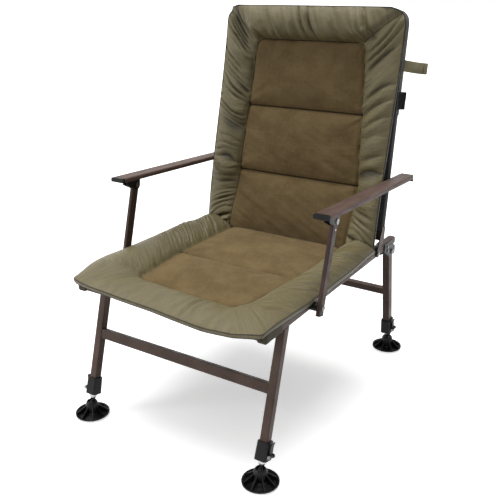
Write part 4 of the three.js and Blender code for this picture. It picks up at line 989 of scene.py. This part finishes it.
def makeBack():
    rows = gridRows((0, *back["seams"], back["panelTop"], back["top"]), back["rows"])
    across, u = np.meshgrid(np.linspace(-1, 1, back["columns"]), rows)
    x = across * backHalf(u)
    reach = backFront(x, u)
    rear = x * (1 - back["inset"] / back["waistHalf"])
    panel, seam = backSeams(x, u)
    front, behind = backPoints(x, reach, u), backPoints(rear, backRear(rear, u, reach), u)
    front, behind = sewCase("back_mattress", front, behind, seam, panel, back["cap"])
    x, u = finer(x), finer(u)
    panel, seam = backSeams(x, u)
    more, *place = backFolding["lowNap"]
    gathered = backGathers(x, u) + nap(x, u, panel, 111) * (1 + more * rising(u, *place))
    front = front - leanReach * swelled(gathered, seam)[..., None]
    # painted shade: in the valleys of the gathers, and on the fleece darkening towards the foot of the back
    deep, *place = backFolding["lowPaintedShade"]
    paintedShade = rising(gathered, *backFolding["paintedShade"])
    paintedShade = np.maximum(paintedShade, deep * rising(u, *place) * (panel < 0))
    across, along, topAcross, topAlong, overTop = backFolds(x, u)
    above = overTop > 0.5
    lines = np.stack([np.where(above, topAcross, across), np.where(above, topAlong, along), above * 1.0], -1)
    flat = np.stack([x, u], -1)
    piece = closeCase("back_mattress", front, behind, flat, panel, seam, lines, paintedShade, case["lining"])
    return piece, front


def squashBack(piece):
    anchor = tuple(fromBack(0, back["squashReach"], 0))
    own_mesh(piece)


backPiece, backFrontGrid = makeBack()
declareHalf(backPiece, "back_frame", "back_pad", squashBack)


# Thin cloth: an open grid given its thickness and mapped flat to the shape that it was cut to, declared on
# its body
def clothSheet(
    name, grid, thick, finish, body, flat, closed=False, extra=None, replaced=None
):
    faces = gridQuads(*grid.shape[:2], False, closed)
    points, flatMap = grid.reshape(-1, 3), flat.reshape(-1, 2)
    if extra is not None:
        more, moreFlat, moreFaces = extra
        points, flatMap = np.concatenate([points, more]), np.concatenate([flatMap, moreFlat])
        faces = np.concatenate([faces, moreFaces])
    piece = buildMesh(name, points, faces, finish, flatMap)
    solid = piece.modifiers.new("Solidify", "SOLIDIFY")
    solid.thickness, solid.offset, solid.use_even_offset = thick, 0, True
    declare(piece, body, replaced)


# Bindings: each edge's grid, radius, body, upward direction and finish
bindings = {
    "seat_lower_binding": (seatBack, 0.0014, "seat_frame", (0, 0, 1), "binding"),
    "seat_upper_piping": (seatFront, 0.0006, "seat_frame", (0, 0, 1), "binding"),
    "back_binding": (backFrontGrid, 0.0012, "back_frame", -leanReach, "edge_tape"),
}


def edgeBinding(name, grid, radius, body, upward, finish):
    # a six-sided tube of cloth along every second point of the grid's rim
    rim = grid.reshape(-1, 3)[rimOrder(*grid.shape[:2])]
    turn = np.arange(6) * math.pi / 3
    section = np.stack([np.cos(turn), np.sin(turn)], 1) * radius
    piece = carried(name, rim[::2], section, finish, upward, closed=True)
    declare(piece, body)
    squash = squashSeat if body == "seat_frame" else squashBack
    squash(piece)


for name, values in bindings.items():
    edgeBinding(name, *values)
print("edges bound")


# Slings: black mesh cloth, the seat's laid over its rails and the back's sewn into sleeves round its tubes
slings = {
    "thick": 0.0012, "seatHalf": 0.2571, "seatFront": -0.355, "seatRear": 0.238, "seatTop": 0.3609,
    "seatStretch": 1.01, "seatGrid": (45, 60), "backGrid": (41, 48), "cornerSteps": 5, "seamCorner": 11,
    "backLow": 0.060, "backHigh": 0.5285, "tubeX": 0.2484, "sleeve": 0.0107,
    "sleeveCorner": 0.003, "backFront": 0.0204,
}


def makeSeatSling():
    # flat across the rails, hanging between them in a curve of the fourth power
    columns, rows = slings["seatGrid"]
    places = np.linspace(slings["seatFront"], slings["seatRear"], rows)
    x, y = np.meshgrid(np.linspace(-1, 1, columns) * slings["seatHalf"], places)
    grid = np.stack([x, y, slings["seatTop"] - slingDip(x, y)], -1)
    clothSheet(
        "seat_sling_cloth", grid, slings["thick"], "sling_cloth", "seat_frame",
        np.stack([x, y], -1) * slings["seatStretch"],
        replaced="seat_sling",
    )


makeSeatSling()


def makeBackSling():
    # the middle sags behind the tubes; at each side the strip goes once round its tube
    columns, rows = slings["backGrid"]
    size = 2 * slings["sleeve"]
    square = roundedSection(size, size, slings["sleeveCorner"], slings["cornerSteps"])
    square = np.roll(square, -slings["seamCorner"], 0)[::-1]
    across = np.linspace(-1, 1, columns)
    sag = slings["backFront"] + back["slingSag"] * (1 - across**4)
    middle = np.stack([across * (slings["tubeX"] - slings["sleeve"]), sag], -1)
    rightLoop = square + [slings["tubeX"], back["tube"]]
    profile = np.concatenate([(rightLoop * [-1, 1])[::-1], middle, rightLoop])
    rise = np.linspace(slings["backLow"], slings["backHigh"], rows)
    grid = fromBack(profile[None, :, 0], profile[None, :, 1], rise[:, None])
    flat = unrolled(distances(profile), rise)
    clothSheet(
        "back_sling_cloth", grid, slings["thick"], "sling_cloth", "back_frame", flat,
        replaced="back_sling",
    )


makeBackSling()


# Hood: the mattress's pocket that goes over the top of the back frame
hood = {
    "low": 0.360, "half": 0.2604, "top": 0.6180, "corner": 0.040, "rear": 0.0352, "front": 0.0085,
    "thick": 0.0009, "round": (0.004, 0.006), "wrinkles": (0.05, 0.2, 91, 1, 0.7, 0.0018),
    "wrinkleFrom": 0.03, "columns": 61, "rows": 44, "loops": 6, "loopStep": 0.004,
}


def makeHood():
    # a rear panel with its edge rounded off, and three sides that reach forwards from it
    columns, rows = hood["columns"], hood["rows"]
    across, u = np.meshgrid(np.linspace(-1, 1, columns), np.linspace(hood["low"], hood["top"], rows))
    over = np.maximum(0, u - (hood["top"] - hood["corner"]))
    x = across * roundedEnd(hood["half"], hood["corner"], over)
    inward = np.minimum(hood["half"] - np.abs(x), hood["top"] - u)
    drop, width = hood["round"]
    reach = hood["rear"] - drop * (1 - smooth(inward / width))
    pulled = ruches(x, u, *hood["wrinkles"]) * smooth(inward / hood["wrinkleFrom"])
    rear = fromBack(x, reach - np.abs(pulled) * 0.5, u)
    last = (rows - 1) * columns
    edge = np.concatenate([
        np.arange(0, last, columns), last + np.arange(columns), np.arange(last - 1, 0, -columns),
    ])
    rimX, rimReach, rimRise = x.ravel()[edge], reach.ravel()[edge], u.ravel()[edge]
    steps = np.arange(1, hood["loops"] + 1)
    ends = [fromBack(rimX, between(rimReach, hood["front"], step / hood["loops"]), rimRise) for step in steps]
    rings = [edge] + [rows * columns + (step - 1) * len(edge) + np.arange(len(edge)) for step in steps]
    faces = np.concatenate([
        np.stack([first[:-1], second[:-1], second[1:], first[1:]], -1)
        for first, second in zip(rings[:-1], rings[1:])
    ])
    flat = np.stack([x, u], -1)
    outward = np.stack([np.sign(rimX), (rimRise > hood["top"] - 0.01) * 1.0], -1)
    sideFlat = [flat.reshape(-1, 2)[edge] + outward * hood["loopStep"] * step for step in steps]
    clothSheet(
        "back_hood", rear, hood["thick"], "hood_cloth", "back_frame", flat,
        extra=(np.concatenate(ends), np.concatenate(sideFlat), faces),
    )


makeHood()


# Corner pockets of the mattress round the front ends of the rails
pocket = {
    "x": 0.248, "half": 0.0112, "low": 0.3388, "high": 0.3622, "front": -0.3588, "rear": -0.296,
    "thick": 0.0009, "corner": 0.004, "noseShares": (0.03, 0.7, 0.93, 1), "nose": (0.0016, 0.0014, 0.0008, 0),
    "slack": 0.02, "waves": 210, "rows": 17,
}


def makePocket(side):
    # a rounded square carried along the rail, closing over its nose
    section = roundedSection(2 * pocket["half"], pocket["high"] - pocket["low"], pocket["corner"], 5)
    centre = np.array([sides[side] * pocket["x"], (pocket["low"] + pocket["high"]) / 2])
    run = np.linspace(pocket["front"], pocket["rear"], pocket["rows"])[1:]
    shares = np.concatenate([pocket["noseShares"], np.ones(len(run))])
    places = np.concatenate([pocket["front"] - np.array(pocket["nose"]), run])
    slack = 1 + pocket["slack"] * np.sin(places * pocket["waves"])[:, None, None]
    ring = centre + section[None] * shares[:, None, None] * slack
    grid = np.stack([ring[..., 0], np.broadcast_to(places[:, None], ring.shape[:2]), ring[..., 1]], -1)
    flat = unrolled(distances(section), distances(grid[:, 0]))
    clothSheet(
        side + "_rail_pocket", grid, pocket["thick"], "pocket_cloth", "seat_frame", flat,
        closed=True,
    )


for side in sides:
    makePocket(side)


# Strap: doubled webbing that stands out behind the back frame, its end folded over and tacked.
# Each part's stretch of the strap, rows, offset outwards, shares of the section and finish
strap = {
    "root": (0.2604, 0.0312, 0.482), "run": (0.0408, 0.0512), "height": 0.028, "thick": 0.0016,
    "drop": 0.0035, "sag": 0.0012, "corner": 0.0007,
    "parts": {
        "webbing_strap_cloth": ((0, 1, 25), 0.0, (1, 1), "webbing"),
        "webbing_strap_fold": ((0.80, 1.01, 8), 0.0015, (1, 0.985), "webbing"),
        "webbing_strap_tack": ((0.815, 0.835, 3), 0.0025, (0.5, 0.90), "stitch_thread"),
    },
}


def strapPath(start, stop, count, outwards=0.0):
    # straight outwards and rearwards from the root, drooping by a power of the share and a sine
    share = np.linspace(start, stop, count)
    x, reach, rise = strap["root"]
    sag = strap["drop"] * share**1.4 + strap["sag"] * np.sin(math.pi * share)
    return fromBack(x + strap["run"][0] * share + outwards, reach + strap["run"][1] * share, rise - sag)


def makeStrap():
    band = roundedSection(strap["thick"], strap["height"], strap["corner"], 3)
    made = []
    for name, (run, outwards, shares, finish) in strap["parts"].items():
        made.append(carried(name, strapPath(*run, outwards), band * shares, finish, leanRise))
        declare(made[-1], "back_frame")
    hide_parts("webbing_strap")
    length = float(distances(strapPath(0, 1, 25))[-1])


makeStrap()


# Label: a bare black loop of cloth, its edge stitched
label = {
    "x": 0.2610, "thick": 0.0011, "reach": (0.0138, 0.0642), "rise": (0.3738, 0.4182), "inset": 0.0022,
    "corner": 0.002, "thread": (0.0006, 0.0002), "curl": (0.0014, 0.05, 0.45), "wave": (0.0003, 160),
}


def makeLabel():
    (near, far), (low, high) = label["reach"], label["rise"]
    height, width = high - low, far - near
    middle = fromBack(label["x"], (near + far) / 2, (low + high) / 2)

    def placed(reach, rise, lift=0.0):
        # the cloth curls outwards towards its free edge and waves a little along its height
        most, start, run = label["curl"]
        waves, count = label["wave"]
        curl = most * rising(reach / width, start, run) + waves * np.sin(rise * count) + lift
        ways = zip((reach, rise, curl), (leanReach, leanRise, np.array([1, 0, 0])))
        return middle + sum(length[..., None] * way for length, way in ways)

    reach, rise = np.meshgrid(np.linspace(-0.5, 0.5, 22) * width, np.linspace(-0.5, 0.5, 24) * height)
    clothSheet(
        "side_label_cloth", placed(reach, rise), label["thick"], "label_cloth", "back_frame",
        np.stack([reach, rise], -1), replaced="side_label",
    )
    inset, (thick, corner) = 2 * label["inset"], label["thread"]
    outline = roundedSection(width - inset, height - inset, label["corner"], 4)
    path = placed(outline[:, 0], outline[:, 1], label["thick"] / 2)
    section = roundedSection(thick, thick, corner, 2)
    thread = carried("side_label_stitch", path, section, "label_thread", (1, 0, 0), closed=True)
    declare(thread, "back_frame")


makeLabel()
print("slings, hood, pockets, strap and label made")


# Hardware too small for the frame's own nodes: radius and height of each head, and where it sits
hardware = {
    "pinHead": (0.0047, 0.0026), "pinStand": 0.0090, "rivet": (0.0033, 0.0014),
    "rackScrew": (0.0036, 0.0014), "bracketBolt": (0.0042, 0.0026), "bracketX": 0.261,
    "bracketPlaces": ((0.2769, 0.3473), (0.2790, 0.3359)), "rackPlace": (0.302, 0.3131, 0.5440),
    "postLean": math.radians(15.62), "rivetX": 0.2870, "rivetDrop": 0.0185, "plugX": 0.282,
    "plugDrop": 0.0160, "plugPlaces": (0.0008, -0.0012, -0.0026), "plug": (0.0100, 0.0226, 0.002, 4),
    "profile": ((1, -0.0002, 0), (1, 0, 0.6), (0.9, 0, 0.86), (0.5, 0, 1)),
}
jointPlaces = {
    joint["name"]: (np.array(joint["pos_m"]), np.array(joint["axis"]))
    for joint in frame["joints"] if "pos_m" in joint
}


def fastener(name, centre, axis, size, body, flats=0):
    # a flat-topped head; the profile has a share of the radius, a height and a share of the thickness
    radius, thick = size
    profile = [(radius * share, height + thick * part) for share, height, part in hardware["profile"]]
    count = 36 if flats else 24
    piece = turned(name, profile, centre, axis, "bolt_steel", sides=count, flats=flats, facets=bool(flats))
    declare(piece, body)


def makeHardware():
    lean = hardware["postLean"]
    down, ahead = np.array([0, math.sin(lean), math.cos(lean)]), (0, math.cos(lean), -math.sin(lean))
    for side, sign in sides.items():
        for end, body in (("front", "seat_frame"), ("rear", "rear_leg_frame")):
            place, axis = jointPlaces[f"{side}_{end}_clamp_lever_turn"]
            axis = axis * (-1 if axis[1] > 0 else 1)
            for name, way in (("clamp_bolt_head", axis), ("clamp_nut", -axis)):
                centre = place + way * hardware["pinStand"]
                fastener(f"{side}_{end}_{name}", centre, way, hardware["pinHead"], body, flats=6)
        outward = np.array([sign, 0, 0])
        for number, (y, z) in enumerate(hardware["bracketPlaces"]):
            name, centre = f"{side}_bracket_bolt_{number + 1}", (sign * hardware["bracketX"], y, z)
            fastener(name, centre, outward, hardware["bracketBolt"], "seat_frame", flats=6)
        pivot, swing = jointPlaces[f"{side}_armrest_pivot"][0], jointPlaces[f"{side}_arm_post_swing"][0]
        post, armrest = f"{side}_arm_post_body", f"{side}_armrest_body"
        centre = np.array([sign * hardware["rivetX"], *pivot[1:]]) - down * hardware["rivetDrop"]
        fastener(f"{side}_arm_post_rivet", centre, outward, hardware["rivet"], post)
        centre = (sign * hardware["rackPlace"][0], *hardware["rackPlace"][1:])
        fastener(f"{side}_rack_screw", centre, outward, hardware["rackScrew"], armrest)
        end = np.array([sign * hardware["plugX"], *swing[1:]]) - down * hardware["plugDrop"]
        path = [end + down * place for place in hardware["plugPlaces"]]
        section = roundedSection(*hardware["plug"])
        plug = carried(f"{side}_arm_post_plug", path, section, "black_plastic", ahead)
        declare(plug, post)


makeHardware()
print("hardware made")


# Floor and light: the floor's own glow, seen only directly, grows outwards and lifts the unshadowed part to
# white. Each lamp is the direction to it, its strength and its width in degrees
studio = {
    "floor": 40, "glow": (0.445, 0.70), "glowReach": (0.05, 0.50), "glowCentre": (0.02, -0.02, 0),
    "paper": 1.0, "bounce": 0.28, "world": 0.14,
    "lamps": {
        "key_light": ((-0.10, 0.02, 1.0), 2.45, 40),
        "front_light": ((-1.0, -1.0, 0.6), 0.98, 20),
    },
}


def seenDirectly(tree):
    rays = put(tree, "LightPath").outputs
    seen = sums(tree, "MAXIMUM", rays["Is Camera Ray"], rays["Is Glossy Ray"])
    return sums(tree, "MAXIMUM", seen, rays["Is Transmission Ray"])


def makeFloor():
    half = studio["floor"]
    mesh = bpy.data.meshes.new("floor")
    corners = [(x * half, y * half, 0) for x, y in ((-1, -1), (1, -1), (1, 1), (-1, 1))]
    mesh.from_pydata(corners, [], [(0, 1, 2, 3)])
    floor = linked("floor", mesh)
    material = bpy.data.materials.new("floor_paper")
    material.use_nodes = True
    tree = material.node_tree
    tree.nodes.remove(tree.nodes["Principled BSDF"])
    colours = [(studio[name],) * 3 + (1,) for name in ("paper", "bounce")]
    paper, bounce = [put(tree, "BsdfDiffuse", {"Color": colour}).outputs[0] for colour in colours]
    ends = {0: put(tree, "TexCoord").outputs["Object"], 1: studio["glowCentre"]}
    distance = put(tree, "VectorMath", ends, operation="DISTANCE").outputs["Value"]
    strength = spread(tree, distance, *studio["glowReach"], *studio["glow"])
    glow = put(tree, "Emission", {"Strength": strength}).outputs[0]
    lit = put(tree, "AddShader", {0: paper, 1: glow}).outputs[0]
    mixed = put(tree, "MixShader", {0: seenDirectly(tree), 1: bounce, 2: lit}).outputs[0]
    tree.links.new(mixed, tree.nodes["Material Output"].inputs["Surface"])
    mesh.materials.append(material)


def makeLight():
    world = bpy.data.worlds.new("studio")
    world.use_nodes = True
    scene.world = world
    tree = world.node_tree
    ground = tree.nodes["Background"]
    ground.inputs["Color"].default_value = (1, 1, 1, 1)
    sockets = {"Value": seenDirectly(tree), "To Min": studio["world"], "To Max": 1.0}
    tree.links.new(put(tree, "MapRange", sockets).outputs["Result"], ground.inputs["Strength"])
    for name, (direction, energy, angle) in studio["lamps"].items():
        lamp = bpy.data.lights.new(name, "SUN")
        lamp.energy, lamp.angle = energy, math.radians(angle)
        holder = linked(name, lamp)
        holder.rotation_mode = "QUATERNION"
        holder.rotation_quaternion = Vector(direction).to_track_quat("Z", "Y")


makeFloor()
makeLight()
scene.view_settings.view_transform = "Standard"
print("studio lit")
